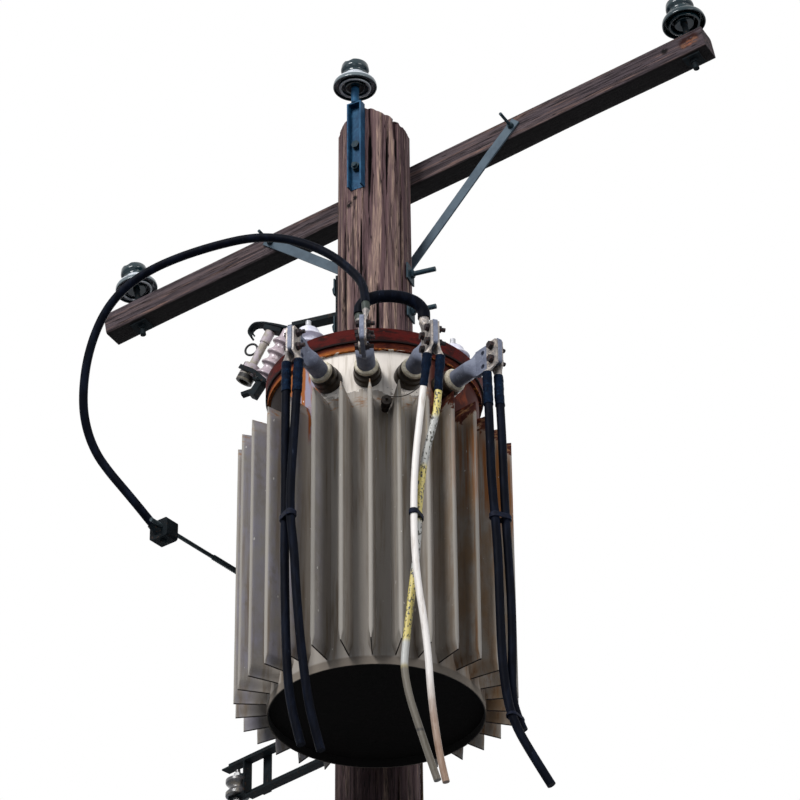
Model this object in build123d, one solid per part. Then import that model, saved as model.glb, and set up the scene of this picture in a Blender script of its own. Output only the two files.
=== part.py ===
from build123d import *
import os
from math import radians, sqrt, tan

# A wooden pole that carries a finned oil transformer on its front side.
# The origin is on the ground at the pole's axis, +Z is up and the tank hangs towards -Y.
os.makedirs("parts", exist_ok=True)

# Clearances
seat_gap = 0.2  # between curved faces that seat on each other
bolt_play = 0.75  # radial play of a bolt in its hole
gain_play = 1.0  # play of the crossarm in its notch, above and below

# Pole
butt_radius = 146
top_radius = 113
pole_height = 8788
roof_drop = 52  # from the pole's height to its slanted top at the axis
roof_angle = 21
step_side = 68  # the top steps down beyond this
step_drop = 88
check_clear = 6  # how far a check's cutter starts outside the wood

# Crossarm, behind the pole, turned about it and no longer level
arm_turn = -28.3
arm_tilt = 9.6  # its right end is up
arm_length = 2200
arm_width = 82
arm_depth = 83
arm_drop = 196.3  # from the pole's height to the arm's middle
arm_shift = 19.2  # of its middle, to the right of the pole's axis
arm_chamfer = 6
gain_depth = 8
pin_places = [-987, 1042]  # along the arm from its middle
pin_radius = 9.5
pin_base_radius = 24
pin_base_height = 12
pin_rise = 65  # from the arm's top to the insulator's lower rim
pin_tip = 50  # how far a pin goes into its insulator

# Pin insulators
skirt_radius = 70
inner_skirt_radius = 50
core_skirt_radius = 31
insulator_height = 95
insulator_neck = 36
insulator_head = 46

# Pole top bracket, a channel with a pin on its cap
channel_side = 2  # to the right of the pole's axis
channel_web = 50
channel_flange = 27
channel_thickness = 5
channel_below = 157.7  # from the arm's middle down
channel_above = 168.3
channel_flat = 3.5  # depth of the flat cut for it in the pole
top_pin_radius = 12.7
top_pin_rise = 58

# Arm braces
brace_reach = 437  # from the pole's axis sideways to each upper bolt
brace_drop = 401.7  # from the arm's middle to the braces' foot
brace_width = 32
brace_thickness = 6
brace_end = 24  # bar beyond the middle of each bolt
brace_flush = 112  # length of bar from its upper bolt that lies flat on the arm
brace_foot_flush = 50
brace_bolt_radius = 5
brace_bolt_tip = 76

# Bolts through the wood
arm_bolt_rise = 8.3  # from the arm's middle to its through bolt
lag_drop = 76.7
lag_length = 120
bolt_radius = 8
bolt_stub = 24
head_across = 24
head_height = 10
head_share = 0.42  # height of a bolt's head or nut for its width
washer_share = 0.62  # radius of a round washer for the nut's width
plate_washer = 57
washer_thickness = 5

# Tank
tank_y = -565
wall_radius = 297
wall_thickness = 4
skirt_bottom = 6318
bushing_rise = 911  # from the skirt's foot to the axes of the low voltage bushings
wall_above = 106  # wall above those axes
floor_recess = 24
floor_thickness = 6
band_height = 23
band_radius = 306
lid_radius = 312
lid_rim = 44
lid_thickness = 4
lid_rise = 40

# Cooling fins
fin_radius = 388
fin_skirt = 28  # skirt below the fins
fin_clear = 69  # from the fins' top to the bushings' axes
fin_step = 12
fin_first = -1.8
fin_thickness = 14
fin_root = 22
fin_edge = 3
fin_pinch = 36
fin_foot = 24  # from the wall to where the flanks become parallel
fin_nose_share = 0.56  # width of the nose's flat for the fin's thickness
fins_beside_hanger = 1  # fins left out each side of the one behind the tank

# Hangers between tank and pole
hanger_above = 1  # from the bushings' axes to the upper hanger's middle
hanger_rise = 322  # from the skirt's foot to the lower hanger's middle
hanger_width = 110
hanger_height = 120
hanger_plate = 8

# Low voltage bushings and terminals
bushing_azimuths = [-25.0, -3.5, 18.0, 39.5]
bushing_root_radius = 39.5
bushing_nose_radius = 35.5
bushing_nose = 345
collar_length = 15
collar_radius = 34
neck_radius = 26
neck_end = 418
pad_start = 448
pad_end = 546
pad_height = 80
pad_thickness = 12
hole_spacing = 44.45
hole_radius = 7.2
outer_column = 522
pad_corner = 8

# Lugs on the leads
palm_width = 42
palm_thickness = 6
palm_beyond = 16  # palm beyond the middle of its outer hole
palm_neck = 20  # palm between its inner hole and the barrel's flare
flare_length = 24
barrel_radius = 11.5
barrel_length = 30
jumper_barrel_radius = 14
sleeve_radius = 13.5
sleeve_below = 2  # from the lug's flare to the sleeve
terminal_bolt_radius = 6
terminal_nut = 19
terminal_stub = 12

# Pressure relief valve
valve_azimuth = 5.6
valve_drop = 111  # below the bushings' axes
valve_body_radius = 13
valve_end = 352

# High voltage bushings on the lid
hv_places = [(-190, -44), (227, 44)]  # from the tank's axis
hv_height = 120
hv_radius = 34
hv_shed_radius = 50
hv_sheds = 3
hv_shoulder = 16
hv_flange_radius = 62
hv_flange_height = 34
hv_cap_radius = 14
hv_cap_height = 8
hv_stud_radius = 8
hv_stud_height = 20

# Fused cutout and its bracket, in an upright plane through the pole's axis
cutout_turn = -111
cutout_drop = 728  # from the pole's height to the middle of its arm
side_bolt_rise = 87
side_bolt_drop = 53
side_bolt_end = 201  # from the pole's axis to the bolts' free ends
side_plate_width = 45
side_plate_thickness = 6
side_plate_rise = 130
side_plate_drop = 92
cutout_arm_end = 284
cutout_arm_size = 38
cutout_tilt = 28  # lean of the cutout's insulator
porcelain_radius = 24
porcelain_shed = 33
porcelain_sheds = 4
porcelain_length = 187
fuse_radius = 13
fuse_fitting_radius = 27
fuse_fitting_length = 60
fuse_mouth_radius = 17
fuse_mouth_depth = 20
fuse_below = 12  # fitting below the lower strap
fuse_cap_length = 60
fuse_gap = 62  # between the insulator's axis and the fuse tube's
contact_width = 46
contact_plate = 6
hood_end = 138  # from the insulator's axis
hood_length = 104
hood_depth = 36
hinge_length = 24
hinge_depth = 58
yoke_width = 70
yoke_end = 92
pull_ring_drop = 92  # from the tube's top
pull_ring_radius = 20
pull_ring_rod = 3.5

# Neutral wire, held on the pole below the tank's upper hanger
neutral_turn = -38
neutral_side = -80.7
neutral_drop = 339  # below the bushings' axes
neutral_start = 174
neutral_end = 905
neutral_radius = 6
eye_radius = 22
eye_rod = 7
eye_inside = 40  # the eye bolt's tip in the pole, from the pole's middle
grip_radius = 8.5
grip_end = 640
tap_place = 838
tap_length = 46
tap_width = 64
tap_depth = 58
tap_spread = 11  # from the neutral wire to the tap's middle
tap_drop = 6
tap_rounding = 8
gland_radius = 15
gland_length = 35

# Lower side bracket with its spool
lower_turn = -134
lower_upper_bar = 6690
lower_bar_step = 120
lower_bar_size = 32
lower_bar_wall = 5
lower_upper_end = 627
lower_lower_end = 526
strap_place = 471
spool_place = 578
spool_radius = 37
spool_height = 56
spool_drop = 118  # from the upper bar's height to the spool's foot
clevis_plate = 6
foot_bolt_side = 32

# Cable ties
tie_width = 6
tie_thickness = 2
tie_gap = 0.8  # between a tie and its cords, which bend
left_tie = 523  # drops of the ties from the bushings' axes
middle_tie = 507
right_ties = [459, 1135]

# Ground wire down the pole
ground_radius = 4
ground_above = 302  # from the skirt's foot to the wire's top
clip_step = 600
clip_width = 26
clip_height = 16

# Free cords
lead_diameter = 24
white_diameter = 19
yellow_diameter = 20
loop_diameter = 25
jumper_diameter = 35
arc_share = 0.45  # part of the shorter run that an arc takes

# Routes of the free cords, from the lug to the free end: to the right of the tank's axis, back from it
# and above the bushings' axes
left_outer_route = [
    (-239, -465, -155), (-240, -464, -285), (-238, -459, -469), (-239, -456, -639), (-236, -459, -829),
    (-230, -462, -999), (-223, -464, -1089), (-210, -464, -1163), (-191, -465, -1239),
]
left_inner_route = [
    (-209, -481, -165), (-215, -482, -295), (-224, -485, -459), (-224, -486, -569), (-213, -485, -669),
    (-207, -485, -789), (-196, -487, -929), (-182, -485, -1059), (-165, -482, -1169), (-140, -479, -1263),
]
white_route = [
    (134, -500, -165), (121, -498, -281), (108, -497, -411), (103, -495, -530), (104, -496, -677),
    (113, -495, -794), (125, -496, -878), (136, -495, -991), (141, -496, -1102), (152, -495, -1215),
    (166, -496, -1313), (177, -495, -1364),
]
yellow_route = [
    (174, -491, -173), (171, -490, -221), (161, -485, -275), (146, -480, -332), (133, -475, -393),
    (123, -470, -466), (116, -467, -543), (114, -465, -613), (107, -463, -698), (96, -461, -785),
    (87, -460, -868), (79, -459, -942), (74, -459, -997), (76, -458, -1034), (85, -457, -1089),
    (99, -456, -1144), (116, -455, -1201), (134, -454, -1265), (156, -453, -1337),
]
right_inner_route = [
    (311, -411, -167), (313, -412, -274), (313, -414, -404), (326, -416, -619), (327, -420, -819),
    (329, -423, -972), (340, -426, -1095), (357, -429, -1161), (386, -432, -1230), (446, -435, -1344),
]
right_outer_route = [
    (343, -394, -159), (346, -396, -264), (347, -397, -380), (349, -401, -515), (354, -402, -650),
    (359, -403, -828), (356, -404, -973), (353, -403, -1052), (359, -402, -1112), (380, -402, -1169),
]
loop_route = [
    (-22, -522, 89), (-24, -513, 133), (-34, -493, 183), (-63, -469, 238), (-115, -448, 304),
    (-189, -425, 361), (-262, -403, 397), (-345, -380, 415), (-442, -349, 412), (-550, -316, 395),
    (-641, -288, 366), (-713, -262, 320), (-762, -238, 260), (-795, -212, 183), (-814, -186, 100),
    (-819, -157, 4), (-806, -133, -69), (-779, -113, -133), (-741, -102, -187), (-706, -97, -231),
    (-674, -91, -271), (-646, -80, -304), (-621, -62, -330),
]
jumper_route = [
    (-38, -476, 83), (-37, -476, 108), (-20, -475, 132), (10, -473, 145), (50, -469, 150),
    (90, -465, 145), (121, -461, 130), (138, -457, 106), (138, -456, 82),
]

# Drying cracks near the pole's top: azimuth, distance of the middle below the top, length, width and depth
top_checks = [
    (-8, 228, 520, 14, 30),
    (22, 228, 420, 12, 25),
    (36, 88, 420, 18, 50),
    (3, 988, 760, 18, 34),
    (-52, 738, 900, 16, 30),
]

# Drying cracks further down: azimuth, height of the middle, length, width and depth
low_checks = [
    (120, 7600, 1200, 20, 40),
    (-150, 5200, 1500, 18, 36),
    (10, 4300, 1400, 18, 36),
    (75, 2600, 1300, 20, 38),
]

UPRIGHT = (Align.CENTER, Align.CENTER, Align.MIN)
BACKWARDS = Rot(-90, 0, 0)  # turns +Z to +Y
FORWARDS = Rot(90, 0, 0)  # turns +Z to -Y


def pole_radius(height):
    return butt_radius - (butt_radius - top_radius) * height / pole_height


def from_tank(route):
    """Points of a route in the part's frame."""
    return [(side, tank_y + back, bushing_height + above) for side, back, above in route]


# Places worked out from the driving dimensions
bushing_height = skirt_bottom + bushing_rise
wall_top = bushing_height + wall_above
band_bottom = wall_top - band_height
fin_bottom = skirt_bottom + fin_skirt
fin_top = bushing_height - fin_clear
hangers = [bushing_height + hanger_above, skirt_bottom + hanger_rise]
neutral_height = bushing_height - neutral_drop
lower_bars = [lower_upper_bar, lower_upper_bar - lower_bar_step]
spool_foot = lower_upper_bar - spool_drop
ground_top = skirt_bottom + ground_above
arm_height = pole_height - arm_drop
arm_bolt_height = arm_height + arm_bolt_rise
lag_height = arm_height - lag_drop
channel_bottom = arm_height - channel_below
channel_top = arm_height + channel_above
brace_foot = arm_height - brace_drop
cutout_arm_height = pole_height - cutout_drop
side_bolts = [cutout_arm_height + side_bolt_rise, cutout_arm_height - side_bolt_drop]
side_plate_bottom = cutout_arm_height - side_plate_drop
arm_seat = pole_radius(arm_height) - gain_depth
arm_back = arm_seat + arm_width
channel_seat = pole_radius((channel_bottom + channel_top) / 2) - channel_flat
brace_seat = pole_radius(brace_foot - brace_width) + seat_gap
wall_inner = wall_radius - wall_thickness
lid_top = wall_top + lid_rim
dome_radius = (lid_radius**2 + lid_rise**2) / (2 * lid_rise)
dome_centre = lid_top + lid_rise - dome_radius
left_outer_path = from_tank(left_outer_route)
left_inner_path = from_tank(left_inner_route)
white_path = from_tank(white_route)
yellow_path = from_tank(yellow_route)
right_inner_path = from_tank(right_inner_route)
right_outer_path = from_tank(right_outer_route)
loop_path = from_tank(loop_route)
jumper_path = from_tank(jumper_route)
pole_checks = [(check[0], pole_height - check[1], *check[2:]) for check in top_checks] + low_checks

# Turned frames: in each, things are built pointing to -Y
at_arm = Rot(0, 0, arm_turn)  # behind it the arm's pole side is at arm_seat
at_cutout = Rot(0, 0, cutout_turn)
at_lower = Rot(0, 0, lower_turn)
at_neutral = Rot(0, 0, neutral_turn)
arm_frame = at_arm * Pos(arm_shift, arm_seat, arm_height) * Rot(0, -arm_tilt, 0)  # middle of its pole side

# The cutout hangs below its arm's outer end and leans outwards towards its foot
cutout_place = Pos(0, -cutout_arm_end, cutout_arm_height - cutout_arm_size / 2)
cutout_frame = at_cutout * cutout_place * Rot(-cutout_tilt, 0, 0)


def turned(corners):
    """Body of revolution about Z from (radius, height) corners; a corner's third value is its rounding."""
    points = [(corner[0], corner[1]) for corner in corners]
    roundings = [corner[2] if len(corner) > 2 else 0 for corner in corners]
    outline = FilletPolyline(*points, radius=roundings, close=True)
    return revolve(Plane.XZ * make_face(outline), Axis.Z)


def rod(start, end, radius):
    """Round bar from one point to another."""
    start = Vector(*start)
    end = Vector(*end)
    return Plane(origin=start, z_dir=end - start) * Cylinder(radius, (end - start).length, align=UPRIGHT)


def cord_tube(name, route, diameter):
    """Round tube along straight runs joined by tangent arcs. Prints its length and its tightest arc."""
    points = [Vector(*place) for place in route]
    radii = []
    for before, here, after in zip(points, points[1:], points[2:]):
        turn = (here - before).get_angle(after - here)
        shorter = min((here - before).length, (after - here).length)
        radii.append(arc_share * shorter / tan(radians(turn) / 2))
    path = FilletPolyline(*points, radius=radii)
    section = Plane(origin=path @ 0, z_dir=path % 0) * Circle(diameter / 2)
    print(f"{name}: {path.length:.0f} long, tightest arc {min(radii):.0f}")
    return sweep(section, path)


def bolt(radius, grip, stub, washer=0, nut=head_across, washer_depth=washer_thickness):
    """Bolt along +Z: its head's washer seats at 0, its nut's washer at grip, and the tip runs on by stub."""
    head = nut * head_share
    shank_start = -washer_depth - head
    shank_end = grip + washer_depth + head + stub
    body = Pos(0, 0, shank_start) * Cylinder(radius, shank_end - shank_start, align=UPRIGHT)
    hexagon = RegularPolygon(nut / 2, 6, major_radius=False)
    if washer:
        plate = Box(washer, washer, washer_depth, align=UPRIGHT)
    else:
        plate = Cylinder(nut * washer_share, washer_depth, align=UPRIGHT)
    body += Pos(0, 0, shank_start) * extrude(hexagon, head)
    body += Pos(0, 0, -washer_depth) * plate
    body += Pos(0, 0, grip) * plate
    body += Pos(0, 0, grip + washer_depth) * extrude(hexagon, head)
    return body


def on_tank(azimuth, height=0):
    """Frame on the tank's axis, turned so that -Y points out at the azimuth."""
    return Pos(0, tank_y, height) * Rot(0, 0, azimuth)


def season_check(azimuth, middle, length, width, depth):
    """Drying crack: a long thin pyramid whose base is a diamond on the pole's surface."""
    surface = pole_radius(middle)
    base = Plane(origin=(0, -surface - check_clear, middle), x_dir=(1, 0, 0), z_dir=(0, 1, 0))
    diamond = Polygon((-width / 2, 0), (0, length / 2), (width / 2, 0), (0, -length / 2), align=None)
    return Rot(0, 0, azimuth) * loft([base * diamond, Vertex(0, depth - surface, middle)])


def make_pole():
    wood = Cone(butt_radius, top_radius, pole_height, align=UPRIGHT)
    across = 4 * butt_radius
    roof = Pos(0, 0, pole_height - roof_drop) * Rot(0, roof_angle, 0)
    wood -= roof * Box(across, across, across, align=UPRIGHT)
    step = Pos(step_side, 0, pole_height - step_drop)
    wood -= step * Box(across, across, across, align=(Align.MIN, Align.CENTER, Align.MIN))
    notch_height = arm_depth + 2 * gain_play
    notch = Box(4 * top_radius, 2 * gain_depth, notch_height, align=(Align.CENTER, Align.MIN, Align.CENTER))
    wood -= arm_frame * notch
    flat_height = pole_height - channel_bottom + gain_play
    flat_width = channel_web + 2 * gain_play
    flat = Box(flat_width, 4 * channel_flat, flat_height, align=(Align.CENTER, Align.MAX, Align.MIN))
    wood -= at_arm * Pos(channel_side, -channel_seat, channel_bottom - gain_play) * flat
    for azimuth, middle, length, width, depth in pole_checks:
        wood -= season_check(azimuth, middle, length, width, depth)
    through = Cylinder(bolt_radius + bolt_play, 4 * butt_radius)
    wood -= at_arm * Pos(channel_side, 0, arm_bolt_height) * FORWARDS * through
    lag_hole = Cylinder(bolt_radius + bolt_play, 2 * lag_length)
    wood -= at_arm * Pos(channel_side, -channel_seat, lag_height) * FORWARDS * lag_hole
    wood -= at_arm * Pos(0, brace_seat, brace_foot) * FORWARDS * lag_hole
    for height in side_bolts:
        wood -= at_cutout * Pos(0, 0, height) * FORWARDS * through
    for height in hangers:
        wood -= Pos(0, 0, height) * FORWARDS * through
    for height in lower_bars:
        for side in (-1, 1):
            wood -= at_lower * Pos(side * foot_bolt_side, 0, height) * FORWARDS * through
    eye_hole = FORWARDS * Cylinder(bolt_radius + bolt_play, 2 * butt_radius, align=UPRIGHT)
    wood -= at_neutral * Pos(neutral_side, -eye_inside, neutral_height) * eye_hole
    return wood


def arm_line(side):
    """Height of the arm's middle line at a distance to the right of the pole's axis."""
    return arm_height + (side - arm_shift) * tan(radians(arm_tilt))


def make_crossarm():
    timber = Box(arm_length, arm_width, arm_depth, align=(Align.CENTER, Align.MIN, Align.CENTER))
    top_edges = timber.edges().filter_by(Axis.X).group_by(Axis.Z)[-1]
    timber = chamfer(top_edges, arm_chamfer)
    for place in pin_places:
        timber -= Pos(place, arm_width / 2, 0) * Cylinder(pin_radius + bolt_play, 2 * arm_depth)
    timber = arm_frame * timber
    for side in (-brace_reach, brace_reach):
        brace_hole = Cylinder(brace_bolt_radius + bolt_play, 4 * arm_back)
        timber -= at_arm * Pos(side, 0, arm_line(side)) * FORWARDS * brace_hole
    arm_hole = Cylinder(bolt_radius + bolt_play, 4 * arm_back)
    return timber - at_arm * Pos(channel_side, 0, arm_bolt_height) * FORWARDS * arm_hole


def pin_insulator():
    """Two-skirt insulator with its lower rim at 0 and a blind hole for the pin."""
    rim = 6
    corners = [
        (0, pin_tip),
        (pin_radius + seat_gap, pin_tip),
        (pin_radius + seat_gap, 2),
        (core_skirt_radius - rim, 2, 1),
        (core_skirt_radius, 6, 2),
        (core_skirt_radius + 3, 30, 3),
        (inner_skirt_radius - rim - 3, 30, 3),
        (inner_skirt_radius - rim, 0, 1.5),
        (inner_skirt_radius, 0, 1.5),
        (inner_skirt_radius + 4, 26, 3),
        (skirt_radius - rim - 3, 26, 3),
        (skirt_radius - rim, 3, 1.5),
        (skirt_radius, 3, 2),
        (skirt_radius, 18, 10),
        (insulator_head, 39, 11),
        (insulator_neck, 50, 5),
        (insulator_neck, 61, 5),
        (insulator_head, 69, 6),
        (insulator_head - 4, insulator_height, 10),
        (0, insulator_height),
    ]
    body = turned(corners)
    saddle = FORWARDS * Cylinder(11, 4 * insulator_head)
    return body - Pos(0, 0, insulator_height + 2) * saddle


def arm_pin():
    """Steel pin: the arm's top is at 0, with a base above it and a nut and washer under the arm."""
    below = arm_depth + washer_thickness + head_height + bolt_stub
    body = Pos(0, 0, -below) * Cylinder(pin_radius, below + pin_rise + pin_tip - 1, align=UPRIGHT)
    base = turned([
        (0, 0), (pin_base_radius, 0), (pin_base_radius, 5, 2), (pin_radius, pin_base_height),
        (0, pin_base_height),
    ])
    hexagon = RegularPolygon(head_across / 2, 6, major_radius=False)
    washer = Box(plate_washer, plate_washer, washer_thickness, align=UPRIGHT)
    body += base
    body += Pos(0, 0, -arm_depth - washer_thickness) * washer
    body += Pos(0, 0, -arm_depth - washer_thickness - head_height) * extrude(hexagon, head_height)
    return body


def make_pole_top_bracket():
    """Steel channel on the pole's flat with its flanges outwards, closed by a cap that carries a pin."""
    height = channel_top - channel_bottom
    low = (Align.CENTER, Align.MAX, Align.MIN)
    body = Box(channel_web, channel_flange, height, align=low)
    inside = Box(channel_web - 2 * channel_thickness, channel_flange, height, align=low)
    body -= Pos(0, -channel_thickness, -channel_thickness) * inside
    for bolt_height in (arm_bolt_height, lag_height):
        hole = Cylinder(bolt_radius + bolt_play, 4 * channel_thickness)
        body -= Pos(0, 0, bolt_height - channel_bottom) * FORWARDS * hole
    pin_place = Pos(0, -channel_thickness - top_pin_radius, height)
    body += pin_place * Cylinder(top_pin_radius, top_pin_rise, align=UPRIGHT)
    body += pin_place * Cylinder(pin_radius, top_pin_rise + pin_tip - 1, align=UPRIGHT)
    return at_arm * Pos(channel_side, -channel_seat, channel_bottom) * body


def brace(side, layer):
    """Flat bar from the arm's pole side down to the pole's back; the second bar lies over the first."""
    top = Vector(side * brace_reach, arm_seat, arm_line(side * brace_reach))
    foot = Vector(0, arm_seat, brace_foot)
    along = (foot - top).normalized()
    length = (foot - top).length
    rise = brace_seat + layer * brace_thickness + brace_thickness - arm_seat
    bend = length - brace_foot_flush
    end = length + brace_end
    profile = Polygon(
        (-brace_end, 0), (brace_flush, 0), (bend, rise), (end, rise),
        (end, rise - brace_thickness), (bend, rise - brace_thickness),
        (brace_flush, -brace_thickness), (-brace_end, -brace_thickness), align=None,
    )
    across = along.cross(Vector(0, 1, 0))
    frame = Plane(origin=top, x_dir=along, z_dir=across)
    bar = frame * extrude(profile, brace_width / 2, both=True)
    for place in (top, foot):
        radius = brace_bolt_radius if place is top else bolt_radius
        bar -= Pos(place) * FORWARDS * Cylinder(radius + bolt_play, 8 * brace_width)
    return at_arm * bar


def make_brace_bolts():
    """Two bolts through the arm, tips towards the camera, and a lag screw into the pole's back."""
    pieces = []
    grip = arm_width + brace_thickness
    for side in (-brace_reach, brace_reach):
        stub = brace_bolt_tip - washer_thickness - head_height
        screw = bolt(brace_bolt_radius, grip, stub, nut=17)
        pieces.append(at_arm * Pos(side, arm_back, arm_line(side)) * FORWARDS * screw)
    seat = brace_seat + 2 * brace_thickness
    pieces.append(at_arm * Pos(0, seat, brace_foot) * BACKWARDS * lag_screw())
    return pieces


def lag_screw():
    """Lag screw along +Z: its washer seats at 0 and its shank goes the other way."""
    hexagon = RegularPolygon(head_across / 2, 6, major_radius=False)
    body = Cylinder(head_across * washer_share, washer_thickness, align=UPRIGHT)
    body += Pos(0, 0, washer_thickness) * extrude(hexagon, head_height)
    return body + Pos(0, 0, -lag_length + bolt_stub) * Cylinder(bolt_radius, lag_length, align=UPRIGHT)


def make_arm_bolts():
    """Bolt through arm, pole and channel, and the channel's lag screw."""
    grip = arm_back + channel_seat + channel_thickness
    seat = -channel_seat - channel_thickness
    upper = BACKWARDS * bolt(bolt_radius, grip, bolt_stub)
    upper = at_arm * Pos(channel_side, seat, arm_bolt_height) * upper
    return [upper, at_arm * Pos(channel_side, seat, lag_height) * FORWARDS * lag_screw()]


def make_tank_wall():
    height = wall_top - skirt_bottom
    shell = Cylinder(wall_radius, height, align=UPRIGHT) - Cylinder(wall_inner, height, align=UPRIGHT)
    return on_tank(0, skirt_bottom) * shell


def make_tank_bottom():
    """Flat plate welded a little way up inside the skirt."""
    plate = Cylinder(wall_inner - seat_gap, floor_thickness, align=UPRIGHT)
    return on_tank(0, skirt_bottom + floor_recess) * plate


def make_lid_band():
    height = wall_top - band_bottom
    ring = Cylinder(band_radius, height, align=UPRIGHT)
    ring -= Cylinder(wall_radius + seat_gap, height, align=UPRIGHT)
    return on_tank(0, band_bottom) * ring


def make_lid():
    """Pressed lid: a shallow dome with a deep rim whose foot turns in over the tank's wall."""
    ball = Pos(0, 0, dome_centre) * Sphere(dome_radius)
    inner_ball = Pos(0, 0, dome_centre) * Sphere(dome_radius - lid_thickness)
    outer = Pos(0, 0, wall_top) * Cylinder(lid_radius, lid_rim + lid_rise, align=UPRIGHT)
    inner = Pos(0, 0, wall_top) * Cylinder(lid_radius - lid_thickness, lid_rim + lid_rise, align=UPRIGHT)
    shell = (outer & ball) - (inner & inner_ball)
    foot = Cylinder(lid_radius, lid_thickness, align=UPRIGHT)
    foot -= Cylinder(wall_inner, lid_thickness, align=UPRIGHT)
    return on_tank(0) * (shell + Pos(0, 0, wall_top) * foot)


def fin():
    """Hollow-pressed fin: rounded outer edge, flanks that spread to the wall, and both ends pinched thin."""
    root = wall_radius - fin_foot / 2

    def section(height, edge, foot):
        nose = fin_radius - edge / 2
        flat = edge * fin_nose_share / 2
        spread = wall_radius + fin_foot
        face = Polygon(
            (-foot / 2, -root), (foot / 2, -root), (edge / 2, -spread), (edge / 2, -nose),
            (flat, -fin_radius), (-flat, -fin_radius), (-edge / 2, -nose), (-edge / 2, -spread), align=None,
        )
        return Pos(0, 0, height) * face

    ends = (fin_edge, fin_edge)
    full = (fin_thickness, fin_root)
    lower = loft([section(fin_bottom, *ends), section(fin_bottom + fin_pinch, *full)], ruled=True)
    middle = loft([section(fin_bottom + fin_pinch, *full), section(fin_top - fin_pinch, *full)], ruled=True)
    upper = loft([section(fin_top - fin_pinch, *full), section(fin_top, *ends)], ruled=True)
    return lower + middle + upper - Cylinder(wall_radius + seat_gap, 2 * fin_top)


def make_fins():
    """Fins at even steps round the tank, without those behind it; sorted to the left and the right."""
    one = fin()
    count = round(360 / fin_step)
    left, right = [], []
    for number in range(count):
        azimuth = fin_first + number * fin_step
        behind = abs((azimuth - 180 + 180) % 360 - 180)
        if behind < (fins_beside_hanger + 0.6) * fin_step:
            continue
        turn = (azimuth + 180) % 360 - 180
        (left if turn < 0 else right).append(on_tank(azimuth) * one)
    return left, right


def hanger_seat(height):
    """Distance from the pole's axis to the back of a hanger's plate, which touches the pole at its foot."""
    return pole_radius(height - hanger_height / 2) + seat_gap


def hanger():
    """Bracket between tank and pole: a plate seated on the pole and two cheeks welded to the tank's wall."""
    height = hanger_height
    plate = Box(hanger_width, hanger_plate, height, align=(Align.CENTER, Align.MAX, Align.CENTER))
    reach = -tank_y - pole_radius(hangers[0])
    cheek = Box(hanger_plate, reach, height, align=(Align.CENTER, Align.MAX, Align.CENTER))
    body = plate
    for side in (-1, 1):
        body += Pos(side * (hanger_width - hanger_plate) / 2, 0, 0) * cheek
    body -= FORWARDS * Cylinder(bolt_radius + bolt_play, 4 * hanger_plate)
    return body


def make_hangers():
    pieces = []
    for height in hangers:
        body = Pos(0, -hanger_seat(height), height) * hanger()
        pieces.append(body - on_tank(0) * Cylinder(wall_radius + seat_gap, 2 * wall_top))
    return pieces


def make_through_bolts():
    """Bolts that hold the hangers, the cutout's bracket and the lower bracket."""
    pieces = []
    for height in hangers:
        front = -hanger_seat(height) - hanger_plate
        back = pole_radius(height - plate_washer / 2)
        screw = bolt(bolt_radius, back - front, bolt_stub, washer=plate_washer)
        pieces.append(Pos(0, front, height) * BACKWARDS * screw)
    for height in side_bolts:
        front = -pole_radius(side_plate_bottom) - seat_gap - side_plate_thickness
        back = pole_radius(height - plate_washer / 2)
        stub = side_bolt_end - back - washer_thickness - head_height
        screw = bolt(bolt_radius, back - front, stub, washer=plate_washer)
        pieces.append(at_cutout * Pos(0, front, height) * BACKWARDS * screw)
    for height in lower_bars:
        radius = pole_radius(height)
        front = -radius - seat_gap - lower_bar_wall
        screw = bolt(bolt_radius, 2 * radius + seat_gap + lower_bar_wall, bolt_stub)
        for side in (-1, 1):
            pieces.append(at_lower * Pos(side * foot_bolt_side, front, height) * BACKWARDS * screw)
    return pieces


def lv_bushing():
    """Porcelain cone along +Z from inside the tank's wall."""
    root = wall_radius - 12
    corners = [
        (0, root), (bushing_root_radius, root), (bushing_root_radius, wall_radius + 6, 4),
        (bushing_nose_radius, bushing_nose, 4), (0, bushing_nose),
    ]
    return turned(corners)


def bushing_collar():
    ring = Cylinder(collar_radius, collar_length, align=UPRIGHT)
    return Pos(0, 0, bushing_nose) * ring


def lv_terminal():
    """Cast spade along +Z: round neck, shoulder and an upright pad with four holes."""
    start = bushing_nose + collar_length
    body = Pos(0, 0, start) * Cylinder(neck_radius, neck_end - start, align=UPRIGHT)
    pad_outline = fillet(Rectangle(pad_thickness, pad_height).vertices(), pad_thickness * 0.3)
    body += loft([Pos(0, 0, neck_end) * Circle(neck_radius), Pos(0, 0, pad_start) * pad_outline])
    pad = Pos(0, 0, pad_start) * Box(pad_thickness, pad_height, pad_end - pad_start, align=UPRIGHT)
    pad = fillet(pad.edges().filter_by(Axis.X).group_by(Axis.Z)[-1], pad_corner)
    body += pad
    for column in (outer_column - hole_spacing, outer_column):
        for row in (-1, 1):
            hole = Rot(0, 90, 0) * Cylinder(hole_radius, 4 * pad_thickness)
            body -= Pos(0, row * hole_spacing / 2, column) * hole
    return body


def at_bushing(azimuth):
    """Frame of a bushing: +Z runs out along its axis, +X to the right of it and +Y up."""
    return on_tank(azimuth, bushing_height) * FORWARDS


def line_at(start, following, height):
    """Point at a height on the line of a route's first run."""
    start = Vector(*start)
    way = start - Vector(*following)
    return start + way * ((height - start.Z) / way.Z)


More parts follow.
